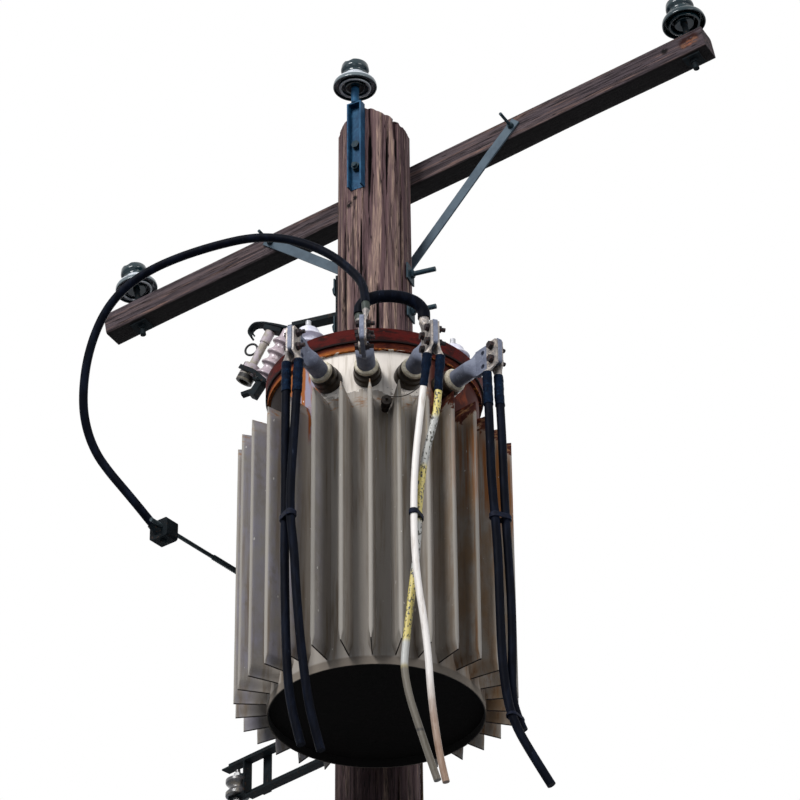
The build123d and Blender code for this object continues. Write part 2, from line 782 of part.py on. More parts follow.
def lug(azimuth, side, column, up, route, radius):
    """Compression lug on one side of a pad: palm with two holes, flare, and barrel in line with its cord.

    Returns the lug, the place where its flare ends and the barrel's free end.
    """
    frame = on_tank(azimuth, bushing_height) * Pos(0, -column, 0)
    turn = Rot(180, 0, 0) if up else Rot(0, 0, 0)
    palm_middle = side * (pad_thickness + palm_thickness) / 2
    outer_edge = hole_spacing / 2 + palm_beyond
    inner_edge = hole_spacing / 2 + palm_neck
    palm = Box(palm_thickness, palm_width, outer_edge + inner_edge, align=UPRIGHT)
    palm = Pos(palm_middle, 0, -inner_edge) * palm
    palm = fillet(palm.edges().filter_by(Axis.X).group_by(Axis.Z)[-1], pad_corner)
    for row in (-1, 1):
        hole = Rot(0, 90, 0) * Cylinder(hole_radius, 4 * palm_thickness)
        palm -= Pos(palm_middle, 0, row * hole_spacing / 2) * hole
    flat = frame * turn * Pos(palm_middle, 0, -inner_edge) * Rectangle(palm_thickness, palm_width)
    reach = inner_edge + flare_length
    mouth = line_at(route[0], route[1], bushing_height + (reach if up else -reach))
    way = (Vector(*route[0]) - mouth).normalized()
    barrel_end = Vector(*route[0]) if up else mouth + way * barrel_length
    across = (frame * Pos(side, 0, 0)).position - frame.position
    circle = Plane(origin=mouth, x_dir=across, z_dir=way) * Circle(radius)
    body = frame * turn * palm + loft([circle, flat])
    return body + rod(mouth - way, barrel_end, radius), mouth, barrel_end


def shrink_sleeve(mouth, barrel_end, route):
    """Heat-shrink sleeve from just below the lug's flare down to where the lead starts."""
    lead_start = Vector(*route[0])
    way = (lead_start - mouth).normalized()
    top = mouth + way * sleeve_below
    return rod(top, lead_start, sleeve_radius) - rod(mouth, barrel_end, barrel_radius + seat_gap)


def make_lead_lugs():
    """Lugs and sleeves of the six leads on the first, third and fourth pads."""
    places = [
        (0, -1, left_outer_path), (0, 1, left_inner_path), (2, -1, white_path), (2, 1, yellow_path),
        (3, -1, right_inner_path), (3, 1, right_outer_path),
    ]
    lugs, sleeves = [], []
    for number, side, route in places:
        azimuth = bushing_azimuths[number]
        body, mouth, barrel_end = lug(azimuth, side, outer_column, False, route, barrel_radius)
        lugs.append(body)
        sleeves.append(shrink_sleeve(mouth, barrel_end, route))
    return lugs, sleeves


def make_upright_lugs():
    """Lugs that point up: the loop cable's, and one at each end of the jumper."""
    inner_column = outer_column - hole_spacing
    loop = lug(bushing_azimuths[1], 1, outer_column, True, loop_path, barrel_radius)[0]
    left = lug(bushing_azimuths[1], -1, inner_column, True, jumper_path, jumper_barrel_radius)[0]
    right = lug(bushing_azimuths[2], -1, inner_column, True, jumper_path[::-1], jumper_barrel_radius)[0]
    return [loop, left, right]


def make_terminal_bolts():
    """Bolts across the pads, over a palm on the left, on the right or on both sides."""
    inner_column = outer_column - hole_spacing
    stacks = [
        (0, outer_column, 1, 1), (1, outer_column, 0, 1), (1, inner_column, 1, 0),
        (2, outer_column, 1, 1), (2, inner_column, 1, 0), (3, outer_column, 1, 1),
    ]
    pieces = []
    for number, column, left, right in stacks:
        low = -pad_thickness / 2 - left * palm_thickness
        grip = pad_thickness + (left + right) * palm_thickness
        screw = bolt(terminal_bolt_radius, grip, terminal_stub, nut=terminal_nut, washer_depth=3)
        for row in (-1, 1):
            place = Pos(low, -column, row * hole_spacing / 2)
            pieces.append(on_tank(bushing_azimuths[number], bushing_height) * place * Rot(0, 90, 0) * screw)
    return pieces


def make_relief_valve():
    """Brass valve between two fins: seat ring, hexagon, cap and a pull ring."""
    root = wall_radius - 8
    hexagon = RegularPolygon(valve_body_radius, 6)
    body = Pos(0, 0, root) * Cylinder(valve_body_radius - 3, valve_end - root - 14, align=UPRIGHT)
    body += Pos(0, 0, wall_radius + 14) * extrude(hexagon, 12)
    body += Pos(0, 0, valve_end - 16) * Cylinder(valve_body_radius + 2, 12, align=UPRIGHT)
    body += Pos(0, 0, valve_end - 4) * Cylinder(4, 12, align=UPRIGHT)
    body = on_tank(valve_azimuth, bushing_height - valve_drop) * FORWARDS * body
    return body - on_tank(0) * Cylinder(wall_radius + seat_gap, 2 * wall_top)


def hv_base(place):
    """Frame on the flange's top of a high voltage bushing."""
    right, forward = place
    dome = dome_centre + sqrt(dome_radius**2 - right**2 - forward**2)
    return Pos(right, tank_y + forward, dome + hv_flange_height)


def hv_bushing(place):
    """Grey porcelain with sheds and a round shoulder, standing on its flange."""
    corners = [(0, 0), (hv_radius + 8, 0), (hv_radius + 8, 10, 2)]
    step = (hv_height - 30) / hv_sheds
    for shed in range(hv_sheds):
        low = 18 + shed * step
        corners += [
            (hv_radius, low, 3), (hv_shed_radius, low + 5, 2), (hv_shed_radius, low + 9, 2),
            (hv_radius, low + 20, 4),
        ]
    corners += [(hv_radius - 4, hv_height, hv_shoulder), (0, hv_height)]
    return hv_base(place) * turned(corners)


def hv_fittings(place):
    """Clamp flange shaped to the lid, and the cap with its stud."""
    low = (Align.CENTER, Align.CENTER, Align.MAX)
    flange = hv_base(place) * Cylinder(hv_flange_radius, 2 * hv_flange_height, align=low)
    flange -= Pos(0, tank_y, dome_centre) * Sphere(dome_radius + seat_gap)
    cap = Cylinder(hv_cap_radius, hv_cap_height, align=UPRIGHT)
    cap += Cylinder(hv_stud_radius, hv_cap_height + hv_stud_height, align=UPRIGHT)
    return [flange, hv_base(place) * Pos(0, 0, hv_height) * cap]


def make_cutout_bracket():
    """Plate on the pole and an angle arm that carries the cutout."""
    height = side_plate_rise + side_plate_drop
    seat = -pole_radius(side_plate_bottom) - seat_gap
    plate = Box(side_plate_width, side_plate_thickness, height, align=(Align.CENTER, Align.MAX, Align.MIN))
    start = seat - side_plate_thickness
    arm = FORWARDS * angle_bar(cutout_arm_size, side_plate_thickness, cutout_arm_end + start)
    body = Pos(0, seat, side_plate_bottom) * plate + Pos(0, start, cutout_arm_height) * arm
    for height in side_bolts:
        body -= Pos(0, seat, height) * FORWARDS * Cylinder(bolt_radius + bolt_play, 6 * side_plate_thickness)
    return at_cutout * body


def make_cutout_insulator():
    """Porcelain post with sheds between the hood and the hinge."""
    waist = porcelain_radius - 4
    corners = [(0, -porcelain_length), (waist, -porcelain_length, 3)]
    step = (porcelain_length - 30) / porcelain_sheds
    for shed in range(porcelain_sheds):
        low = 14 - porcelain_length + shed * step
        corners += [
            (waist, low, 3), (porcelain_shed, low + 6, 2), (porcelain_shed, low + 11, 2), (waist, low + 26, 5),
        ]
    corners += [(waist, 0, 3), (0, 0)]
    return cutout_frame * Pos(0, 0, -contact_plate) * turned(corners)


def make_cutout_contacts():
    """Upper strap with its hood, and lower strap with a yoke round the fuse's fitting and a hinge block."""
    hanging = (Align.CENTER, Align.MAX, Align.MAX)
    hood = Box(contact_width, hood_length, hood_depth, align=hanging)
    hollow = Box(contact_width - 2 * contact_plate, 2 * hood_length, hood_depth, align=hanging)
    hood -= Pos(0, hood_length / 2, -contact_plate) * hollow
    strap = Box(contact_width, contact_width / 2 + hood_end, contact_plate, align=hanging)
    upper = Pos(0, contact_width / 2, 0) * strap + Pos(0, hood_length - hood_end, 0) * hood
    rising = (Align.CENTER, Align.MIN, Align.MIN)
    wedge = cutout_frame * Box(contact_width, contact_width / 2, contact_width / 2, align=rising)
    above_arm = Box(4 * contact_width, 4 * contact_width, contact_width, align=UPRIGHT)
    upper = cutout_frame * upper + (wedge - at_cutout * cutout_place * above_arm)
    yoke = Box(yoke_width, contact_width / 2 + yoke_end, contact_plate, align=hanging)
    hinge = Box(contact_width, hinge_length, hinge_depth, align=(Align.CENTER, Align.CENTER, Align.MAX))
    lower = Pos(0, contact_width / 2, 0) * yoke + hinge
    lower -= Pos(0, -fuse_gap, 0) * Cylinder(fuse_fitting_radius + seat_gap, 4 * contact_plate)
    return [upper, cutout_frame * Pos(0, 0, -contact_plate - porcelain_length) * lower]


def make_fuse_tube():
    """Fuse tube from the hood through the yoke: fibre tube, open lower fitting and a pull ring."""
    length = porcelain_length + contact_plate + fuse_below
    tube = Cylinder(fuse_radius, length, align=UPRIGHT)
    tube += Cylinder(fuse_fitting_radius, fuse_fitting_length, align=UPRIGHT)
    tube += Pos(0, 0, length - fuse_cap_length) * Cylinder(fuse_radius + 3, fuse_cap_length, align=UPRIGHT)
    tube -= Cylinder(fuse_mouth_radius, fuse_mouth_depth, align=UPRIGHT)
    ring_middle = Pos(0, -fuse_radius - pull_ring_radius, length - pull_ring_drop)
    ring = ring_middle * Rot(0, 90, 0) * Torus(pull_ring_radius, pull_ring_rod)
    return cutout_frame * Pos(0, -fuse_gap, -contact_plate - length) * (tube + ring)


def make_neutral_wire():
    """Bare neutral wire from the eye at the pole, cut just past the tap."""
    wire = FORWARDS * Cylinder(neutral_radius, neutral_end - neutral_start, align=UPRIGHT)
    return at_neutral * Pos(neutral_side, -neutral_start, neutral_height) * wire


def make_neutral_grip():
    """Eye bolt in the pole and the wrapped grip that holds the wire from the eye on."""
    middle = neutral_start - eye_radius - eye_rod
    eye = Pos(0, -middle, 0) * Rot(0, 90, 0) * Torus(eye_radius, eye_rod)
    shank = Cylinder(bolt_radius, middle - eye_radius - eye_inside, align=UPRIGHT)
    eye += Pos(0, -middle + eye_radius, 0) * BACKWARDS * shank
    hold = FORWARDS * Cylinder(grip_radius, grip_end - neutral_start, align=UPRIGHT)
    hold -= FORWARDS * Cylinder(neutral_radius + seat_gap, grip_end, align=UPRIGHT)
    place = at_neutral * Pos(neutral_side, 0, neutral_height)
    return [place * eye, place * Pos(0, -neutral_start, 0) * hold]


def make_tap_connector():
    """Bolted tap that clamps the loop cable's end beside the neutral wire, with a gland for the cable."""
    middle = Vector(neutral_side - tap_spread, -tap_place, neutral_height - tap_drop)
    block = fillet(Box(tap_width, tap_length, tap_depth).edges().filter_by(Axis.Y), tap_rounding)
    hexagon = RegularPolygon(terminal_nut / 2, 6, major_radius=False)
    tightener = Pos(0, 0, -tap_depth / 2) * extrude(hexagon, -head_height)
    body = at_neutral * Pos(middle) * (block + tightener)
    last, end = Vector(*loop_path[-2]), Vector(*loop_path[-1])
    tip = end + (end - last).normalized() * gland_length
    body += rod(end, tip, gland_radius)
    body += rod(tip, (at_neutral * Pos(middle)).position, gland_radius)
    groove = FORWARDS * Cylinder(neutral_radius + seat_gap, neutral_end, align=UPRIGHT)
    return body - at_neutral * Pos(neutral_side, 0, neutral_height) * groove


def angle_bar(size, wall, length):
    """Angle along +Z with its corner low on the left."""
    half = size / 2
    outline = Polygon(
        (-half, -half), (half, -half), (half, wall - half), (wall - half, wall - half), (wall - half, half),
        (-half, half), align=None,
    )
    return extrude(outline, length)


def make_lower_bracket():
    """Two angle bars from the pole on foot plates, joined by a strap, with a clevis under the upper one."""
    middle = (Align.CENTER, Align.MAX, Align.CENTER)
    standing = (Align.CENTER, Align.MAX, Align.MIN)
    body = None
    for height, end in zip(lower_bars, (lower_upper_end, lower_lower_end)):
        start = pole_radius(height) + seat_gap
        angle = FORWARDS * angle_bar(lower_bar_size, lower_bar_wall, end - start)
        bar = Pos(0, -start - lower_bar_wall, height) * angle
        foot = Box(3 * lower_bar_size, lower_bar_wall, 2 * lower_bar_size, align=middle)
        foot = Pos(0, -start, height) * foot
        body = bar + foot if body is None else body + bar + foot
    strap = Box(lower_bar_wall, lower_bar_size, lower_bar_step + lower_bar_size)
    strap_middle = lower_upper_bar - lower_bar_step / 2
    body += Pos(-lower_bar_size / 2 - lower_bar_wall / 2, -strap_place, strap_middle) * strap
    for side in (-1, 1):
        for height in lower_bars:
            hole = FORWARDS * Cylinder(bolt_radius + bolt_play, 6 * butt_radius)
            body -= Pos(side * foot_bolt_side, 0, height) * hole
    top = lower_upper_bar - lower_bar_size / 2
    back = Box(lower_bar_size, clevis_plate, top - spool_foot + clevis_plate, align=standing)
    body += Pos(0, -spool_place + spool_radius + 6, spool_foot - clevis_plate) * back
    for low in (spool_foot - clevis_plate, spool_foot + spool_height):
        leg = Box(lower_bar_size, spool_radius + 30, clevis_plate, align=standing)
        leg -= Pos(0, -spool_radius - 6, 0) * Cylinder(bolt_radius + bolt_play, 6 * clevis_plate)
        body += Pos(0, -spool_place + spool_radius + 6, low) * leg
    return at_lower * body


def make_lower_spool():
    """Porcelain spool with a waist for the wire, and the bolt it turns on."""
    corners = [
        (bolt_radius + bolt_play, 0), (spool_radius, 0, 3), (spool_radius, 12, 4),
        (spool_radius - 15, spool_height / 2, 12), (spool_radius, spool_height - 12, 4),
        (spool_radius, spool_height, 3), (bolt_radius + bolt_play, spool_height),
    ]
    place = at_lower * Pos(0, -spool_place, spool_foot)
    screw = bolt(bolt_radius, spool_height + 2 * clevis_plate, bolt_stub / 2)
    return [place * turned(corners), place * Pos(0, 0, -clevis_plate) * screw]


def make_ground_wire():
    """Copper wire down the pole's side to the ground."""
    stand = ground_radius + seat_gap
    foot = (pole_radius(0) + stand, 0, 0)
    top = (pole_radius(ground_top) + stand, 0, ground_top)
    return rod(foot, top, ground_radius)


def make_ground_clips():
    """Saddle clips over the ground wire, cut to the wire and to the pole."""
    stand = ground_radius + seat_gap
    top = (pole_radius(pole_height) + stand, 0, pole_height)
    wire = rod((pole_radius(0) + stand, 0, 0), top, stand)
    wood = Cone(butt_radius + seat_gap, top_radius + seat_gap, pole_height, align=UPRIGHT)
    pieces = []
    for number in range(1, int(ground_top / clip_step) + 1):
        height = number * clip_step
        outwards = (Align.MIN, Align.CENTER, Align.CENTER)
        block = Box(2 * ground_radius + 14, clip_width, clip_height, align=outwards)
        block = fillet(block.edges().filter_by(Axis.Z).group_by(Axis.X)[-1], 7)
        pieces.append(Pos(pole_radius(height) - 10, 0, height) * block - wire - wood)
    return pieces


def run_at(route, height):
    """Point at a height on the run of a hanging cord that spans it, and the run's direction."""
    for upper, lower in zip(route, route[1:]):
        if lower[2] <= height <= upper[2]:
            start = Vector(*upper)
            way = (Vector(*lower) - start).normalized()
            return start + way * ((height - start.Z) / way.Z), way


def cable_tie(first, second, drop, first_radius, second_radius):
    """Flat band round two neighbouring hanging cords, square to the first one."""
    height = bushing_height - drop
    start, way = run_at(first, height)
    other, other_way = run_at(second, height)
    other += other_way * ((start - other).dot(way) / other_way.dot(way))
    frame = Plane(origin=start, z_dir=way)
    beside = frame.to_local_coords(other)
    bands = []
    for clear in (tie_gap, tie_gap + tie_thickness):
        circles = Circle(first_radius + clear).edges()
        circles += (Pos(beside.X, beside.Y) * Circle(second_radius + clear)).edges()
        bands.append(extrude(make_hull(circles), tie_width / 2, both=True))
    return frame * (bands[1] - bands[0])


def make_cable_ties():
    lead = lead_diameter / 2
    return [
        cable_tie(left_outer_path, left_inner_path, left_tie, lead, lead),
        cable_tie(white_path, yellow_path, middle_tie, white_diameter / 2, yellow_diameter / 2),
        cable_tie(right_inner_path, right_outer_path, right_ties[0], lead, lead),
        cable_tie(right_inner_path, right_outer_path, right_ties[1], lead, lead),
    ]


def node(name, shape):
    """Write one node's STEP file; the solids of a list go into one file."""
    if isinstance(shape, list):
        shape = Compound([solid for piece in shape for solid in piece.solids()])
    export_step(shape, f"parts/{name}.step")


node("pole", make_pole())
node("pole_top_bracket", make_pole_top_bracket())
top_pin_seat = -channel_seat - channel_thickness - top_pin_radius
top_pin_place = at_arm * Pos(channel_side, top_pin_seat, channel_top + top_pin_rise)
node("pole_top_insulator", top_pin_place * pin_insulator())
node("crossarm", make_crossarm())
node("arm_bolts", make_arm_bolts())
node("crossarm_braces", [brace(1, 0), brace(-1, 1)])
node("brace_bolts", make_brace_bolts())
arm_tops = [arm_frame * Pos(place, arm_width / 2, arm_depth / 2) for place in pin_places]
node("arm_pins", [place * arm_pin() for place in arm_tops])
node("arm_insulators", [place * Pos(0, 0, pin_rise) * pin_insulator() for place in arm_tops])

node("tank_wall", make_tank_wall())
node("tank_bottom", make_tank_bottom())
node("lid_band", make_lid_band())
node("tank_lid", make_lid())
fins_left, fins_right = make_fins()
node("fins_left", fins_left)
node("fins_right", fins_right)
node("tank_hangers", make_hangers())
node("through_bolts", make_through_bolts())
node("relief_valve", make_relief_valve())

wall_clear = on_tank(0) * Cylinder(wall_radius + seat_gap, 2 * wall_top)
node("lv_bushings", [at_bushing(azimuth) * lv_bushing() - wall_clear for azimuth in bushing_azimuths])
node("bushing_collars", [at_bushing(azimuth) * bushing_collar() for azimuth in bushing_azimuths])
node("lv_terminals", [at_bushing(azimuth) * lv_terminal() for azimuth in bushing_azimuths])
lugs, sleeves = make_lead_lugs()
node("lead_lugs", lugs)
node("shrink_sleeves", sleeves)
node("upright_lugs", make_upright_lugs())
node("terminal_bolts", make_terminal_bolts())

node("hv_bushings", [hv_bushing(place) for place in hv_places])
node("hv_fittings", [piece for place in hv_places for piece in hv_fittings(place)])

node("cutout_bracket", make_cutout_bracket())
node("cutout_insulator", make_cutout_insulator())
node("cutout_contacts", make_cutout_contacts())
node("fuse_tube", make_fuse_tube())

node("neutral_wire", make_neutral_wire())
node("neutral_grip", make_neutral_grip())
node("tap_connector", make_tap_connector())
node("lower_bracket", make_lower_bracket())
node("lower_spool", make_lower_spool())
node("ground_wire", make_ground_wire())
node("ground_clips", make_ground_clips())

node("cable_ties", make_cable_ties())

cords = {
    "lead_left_outer": (left_outer_path, lead_diameter),
    "lead_left_inner": (left_inner_path, lead_diameter),
    "lead_white": (white_path, white_diameter),
    "lead_yellow": (yellow_path, yellow_diameter),
    "lead_right_inner": (right_inner_path, lead_diameter),
    "lead_right_outer": (right_outer_path, lead_diameter),
    "loop_cable": (loop_path, loop_diameter),
    "jumper": (jumper_path, jumper_diameter),
}
for name, (route, diameter) in cords.items():
    node(name, cord_tube(name, route, diameter))
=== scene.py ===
"""A finned oil transformer on a weathered pole, dressed for its looks.

Shapes are worked out in millimetres, +Z up, origin on the ground at the pole's axis, the tank towards -Y.
"""
from math import cos, pi, radians, sin

import bmesh
import bpy
import numpy as np
from mathutils import Matrix, Vector


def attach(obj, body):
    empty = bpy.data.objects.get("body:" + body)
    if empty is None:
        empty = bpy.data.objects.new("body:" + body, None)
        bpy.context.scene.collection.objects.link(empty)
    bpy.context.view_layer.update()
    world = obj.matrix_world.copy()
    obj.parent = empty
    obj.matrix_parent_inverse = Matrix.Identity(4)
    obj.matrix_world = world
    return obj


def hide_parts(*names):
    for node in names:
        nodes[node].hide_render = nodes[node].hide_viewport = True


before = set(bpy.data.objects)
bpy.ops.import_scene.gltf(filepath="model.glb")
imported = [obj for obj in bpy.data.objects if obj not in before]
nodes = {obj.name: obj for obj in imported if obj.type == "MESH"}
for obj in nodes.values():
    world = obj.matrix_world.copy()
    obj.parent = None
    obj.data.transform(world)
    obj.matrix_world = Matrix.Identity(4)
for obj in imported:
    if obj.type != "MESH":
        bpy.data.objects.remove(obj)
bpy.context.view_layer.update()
scene = bpy.context.scene

# Camera: a long lens in front of the pole, near the ground, looking up
CAMERA_PLACE = (0.0311, -9.3940, 1.5775)
CAMERA_AIM = Vector((0.00388, 0.83732, 0.54670)).normalized()
CAMERA_ROLL = radians(-0.565)
lens = bpy.data.cameras.new("camera")
lens.sensor_fit = "HORIZONTAL"
lens.sensor_width = 36
lens.lens = 166.05
lens.clip_end = 200
camera = bpy.data.objects.new("camera", lens)
scene.collection.objects.link(camera)
level = CAMERA_AIM.cross(Vector((0, 0, 1))).normalized()
right = level * cos(CAMERA_ROLL) + level.cross(CAMERA_AIM) * sin(CAMERA_ROLL)
axes = Matrix((right, right.cross(CAMERA_AIM), -CAMERA_AIM)).transposed()
camera.matrix_world = Matrix.Translation(CAMERA_PLACE) @ axes.to_4x4()
scene.camera = camera

# Cords: control points in metres, from each lug to the far end
routes = {
    "lead_left_outer": [
        (-0.239, -1.03, 7.074), (-0.24, -1.029, 6.944), (-0.238, -1.024, 6.76), (-0.239, -1.021, 6.59),
        (-0.236, -1.024, 6.4), (-0.23, -1.027, 6.23), (-0.223, -1.029, 6.14), (-0.21, -1.029, 6.066),
        (-0.191, -1.03, 5.99),
    ],
    "lead_left_inner": [
        (-0.209, -1.046, 7.064), (-0.215, -1.047, 6.934), (-0.224, -1.05, 6.77), (-0.224, -1.051, 6.66),
        (-0.213, -1.05, 6.56), (-0.207, -1.05, 6.44), (-0.196, -1.052, 6.3), (-0.182, -1.05, 6.17),
        (-0.165, -1.047, 6.06), (-0.14, -1.044, 5.966),
    ],
    "lead_white": [
        (0.134, -1.065, 7.064), (0.121, -1.063, 6.948), (0.108, -1.062, 6.818), (0.103, -1.06, 6.699),
        (0.104, -1.061, 6.552), (0.113, -1.06, 6.435), (0.125, -1.061, 6.351), (0.136, -1.06, 6.238),
        (0.141, -1.061, 6.127), (0.152, -1.06, 6.014), (0.166, -1.061, 5.916), (0.177, -1.06, 5.865),
    ],
    "lead_yellow": [
        (0.174, -1.056, 7.056), (0.171, -1.055, 7.008), (0.161, -1.05, 6.954), (0.146, -1.045, 6.897),
        (0.133, -1.04, 6.836), (0.123, -1.035, 6.763), (0.116, -1.032, 6.686), (0.114, -1.03, 6.616),
        (0.107, -1.028, 6.531), (0.096, -1.026, 6.444), (0.087, -1.025, 6.361), (0.079, -1.024, 6.287),
        (0.074, -1.024, 6.232), (0.076, -1.023, 6.195), (0.085, -1.022, 6.14), (0.099, -1.021, 6.085),
        (0.116, -1.02, 6.028), (0.134, -1.019, 5.964), (0.156, -1.018, 5.892),
    ],
    "lead_right_inner": [
        (0.311, -0.976, 7.062), (0.313, -0.977, 6.955), (0.313, -0.979, 6.825), (0.326, -0.981, 6.61),
        (0.327, -0.985, 6.41), (0.329, -0.988, 6.257), (0.34, -0.991, 6.134), (0.357, -0.994, 6.068),
        (0.386, -0.997, 5.999), (0.446, -1, 5.885),
    ],
    "lead_right_outer": [
        (0.343, -0.959, 7.07), (0.346, -0.961, 6.965), (0.347, -0.962, 6.849), (0.349, -0.966, 6.714),
        (0.354, -0.967, 6.579), (0.359, -0.968, 6.401), (0.356, -0.969, 6.256), (0.353, -0.968, 6.177),
        (0.359, -0.967, 6.117), (0.38, -0.967, 6.06),
    ],
    "loop_cable": [
        (-0.022, -1.087, 7.318), (-0.024, -1.078, 7.362), (-0.034, -1.058, 7.412), (-0.063, -1.034, 7.467),
        (-0.115, -1.013, 7.533), (-0.189, -0.99, 7.59), (-0.262, -0.968, 7.626), (-0.345, -0.945, 7.644),
        (-0.442, -0.914, 7.641), (-0.55, -0.881, 7.624), (-0.641, -0.853, 7.595), (-0.713, -0.827, 7.549),
        (-0.762, -0.803, 7.489), (-0.795, -0.777, 7.412), (-0.814, -0.751, 7.329), (-0.819, -0.722, 7.233),
        (-0.806, -0.698, 7.16), (-0.779, -0.678, 7.096), (-0.741, -0.667, 7.042), (-0.706, -0.662, 6.998),
        (-0.674, -0.656, 6.958), (-0.646, -0.645, 6.925), (-0.621, -0.627, 6.899),
    ],
}
# Diameter and length in metres, what the far end is at, and the slot
cord_facts = {
    "lead_left_outer": (0.024, 1.088, "bare", "black_rubber"),
    "lead_left_inner": (0.024, 1.105, "bare", "black_rubber"),
    "lead_white": (0.019, 1.205, "bare", "white_insulation"),
    "lead_yellow": (0.020, 1.183, "bare", "yellow_insulation"),
    "lead_right_inner": (0.024, 1.201, "bare", "black_rubber"),
    "lead_right_outer": (0.024, 1.014, "bare", "black_rubber"),
    "loop_cable": (0.025, 1.690, "object", "black_rubber"),
}
cords = {}
# A cord's radius stands on its points, and its bevel is 1, so that its box is as wide as the cord
for name, (diameter, length, far_end, slot) in cord_facts.items():
    curve = bpy.data.curves.new(name + "_line", "CURVE")
    curve.dimensions = "3D"
    curve.resolution_u = 10
    curve.bevel_resolution = 6
    curve.bevel_depth = 1.0
    curve.use_fill_caps = True
    route = routes[name]
    spline = curve.splines.new("NURBS")
    spline.points.add(len(route) - 1)
    spline.points.foreach_set("co", np.array([(*point, 1) for point in route]).ravel())
    spline.points.foreach_set("radius", [diameter / 2] * len(route))
    spline.order_u = 3
    spline.use_endpoint_u = True
    cord = bpy.data.objects.new(name + "_cord", curve)
    scene.collection.objects.link(cord)
    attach(cord, "root")
    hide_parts(name)
    cords[name] = cord

# Ways to make a surface. Points closer than this, in metres, are welded
WELD = 0.00002


def rounded(corners, steps=6):
    """Line through (radius, height) corners. A third value cuts its corner by a parabola that far from it."""
    spots = [np.array(corner[:2], float) for corner in corners]
    share = np.linspace(0, 1, steps)[:, None]
    line = [spots[0][None]]
    for before, here, after, corner in zip(spots, spots[1:], spots[2:], corners[1:]):
        cut = corner[2] if len(corner) > 2 else 0.01
        start = here + (before - here) * min(cut / np.linalg.norm(before - here), 0.5)
        end = here + (after - here) * min(cut / np.linalg.norm(after - here), 0.5)
        line.append((1 - share) ** 2 * start + 2 * share * (1 - share) * here + share ** 2 * end)
    line.append(spots[-1][None])
    return np.concatenate(line)


def evenly(line, count, closed=False):
    """The same line as count points at equal distances along it."""
    if closed:
        line = np.concatenate([line, line[:1]])
    travel = np.concatenate([[0], np.cumsum(np.linalg.norm(np.diff(line, axis=0), axis=1))])
    places = np.linspace(0, travel[-1], count + closed)[:count]
    return np.stack([np.interp(places, travel, column) for column in line.T], axis=1)


def placed(grid, where):
    """The grid's points carried by a matrix."""
    matrix = np.array(where)
    return grid @ matrix[:3, :3].T + matrix[:3, 3]


def lathe(line, where, columns=56):
    """A (radius, height) line turned about the matrix's +Z."""
    angle = np.linspace(0, 2 * pi, columns, endpoint=False)
    radius, height = line[:, :1], line[:, 1:]
    grid = np.stack([radius * np.cos(angle), radius * np.sin(angle), height + 0 * angle], axis=-1)
    return placed(grid, where)


def direction(path):
    """Unit vectors along a path, one for each point."""
    along = np.gradient(path, axis=0)
    return along / np.linalg.norm(along, axis=1, keepdims=True)


def each(size, path):
    """One size, or one for each of the path's points, shaped to scale rings of points."""
    return np.broadcast_to(np.asarray(size, float), (len(path),))[:, None, None]


def tube(path, radius, columns=10, aside=(0, 0, 1)):
    """Circles square to a path, with one radius or one for each point."""
    along = direction(path)
    side = np.cross(along, aside)
    side /= np.linalg.norm(side, axis=1, keepdims=True)
    other = np.cross(along, side)
    angle = np.linspace(0, 2 * pi, columns, endpoint=False)[None, :, None]
    return path[:, None] + each(radius, path) * (
        np.cos(angle) * side[:, None] + np.sin(angle) * other[:, None])


def ripples(first, second, count, seed, most=9):
    """Sum of sines over two coordinates, with seeded ways and phases, over the root of their count."""
    source = np.random.default_rng(seed)
    ways = source.integers(1, most, (count, 2))
    phases = source.uniform(0, 2 * pi, count)
    return sum(np.sin(a * first + b * second + p) for (a, b), p in zip(ways, phases)) / count ** 0.5


def made(name, grids, replaced=(), crease=35):
    """A piece from grids of points: rows along, columns round and joined, both end rows closed by a face."""
    points, faces, start = [], [], 0
    for grid in grids:
        rows, columns = grid.shape[:2]
        index = start + np.arange(rows * columns).reshape(rows, columns)
        following = np.roll(index, -1, axis=1)
        quads = np.stack([index[:-1], following[:-1], following[1:], index[1:]], axis=-1)
        faces += quads.reshape(-1, 4).tolist() + [index[0, ::-1].tolist(), index[-1].tolist()]
        points.append(grid.reshape(-1, 3) / 1000)
        start += rows * columns
    mesh = bpy.data.meshes.new(name)
    mesh.from_pydata(np.concatenate(points), [], faces)
    shape = bmesh.new()
    shape.from_mesh(mesh)
    bmesh.ops.remove_doubles(shape, verts=shape.verts, dist=WELD)
    bmesh.ops.recalc_face_normals(shape, faces=shape.faces)
    shape.to_mesh(mesh)
    shape.free()
    mesh.shade_smooth()
    mesh.set_sharp_from_angle(angle=radians(crease))
    obj = bpy.data.objects.new(name, mesh)
    scene.collection.objects.link(obj)
    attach(obj, "root")
    if replaced:
        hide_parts(*replaced)
    return obj


def spun(name, line, places, node):
    """A piece with the same turned shape at each of its places."""
    return made(name, [lathe(line, place) for place in places], [node])


def turn(degrees, axis="Z"):
    """Matrix of a turn about one axis."""
    return Matrix.Rotation(radians(degrees), 4, axis)


def move(*place):
    """Matrix of a shift."""
    return Matrix.Translation(place)


def pole_radius(height):
    """The pole's taper."""
    return POLE_FOOT_RADIUS - POLE_TAPER * height / POLE_HEIGHT


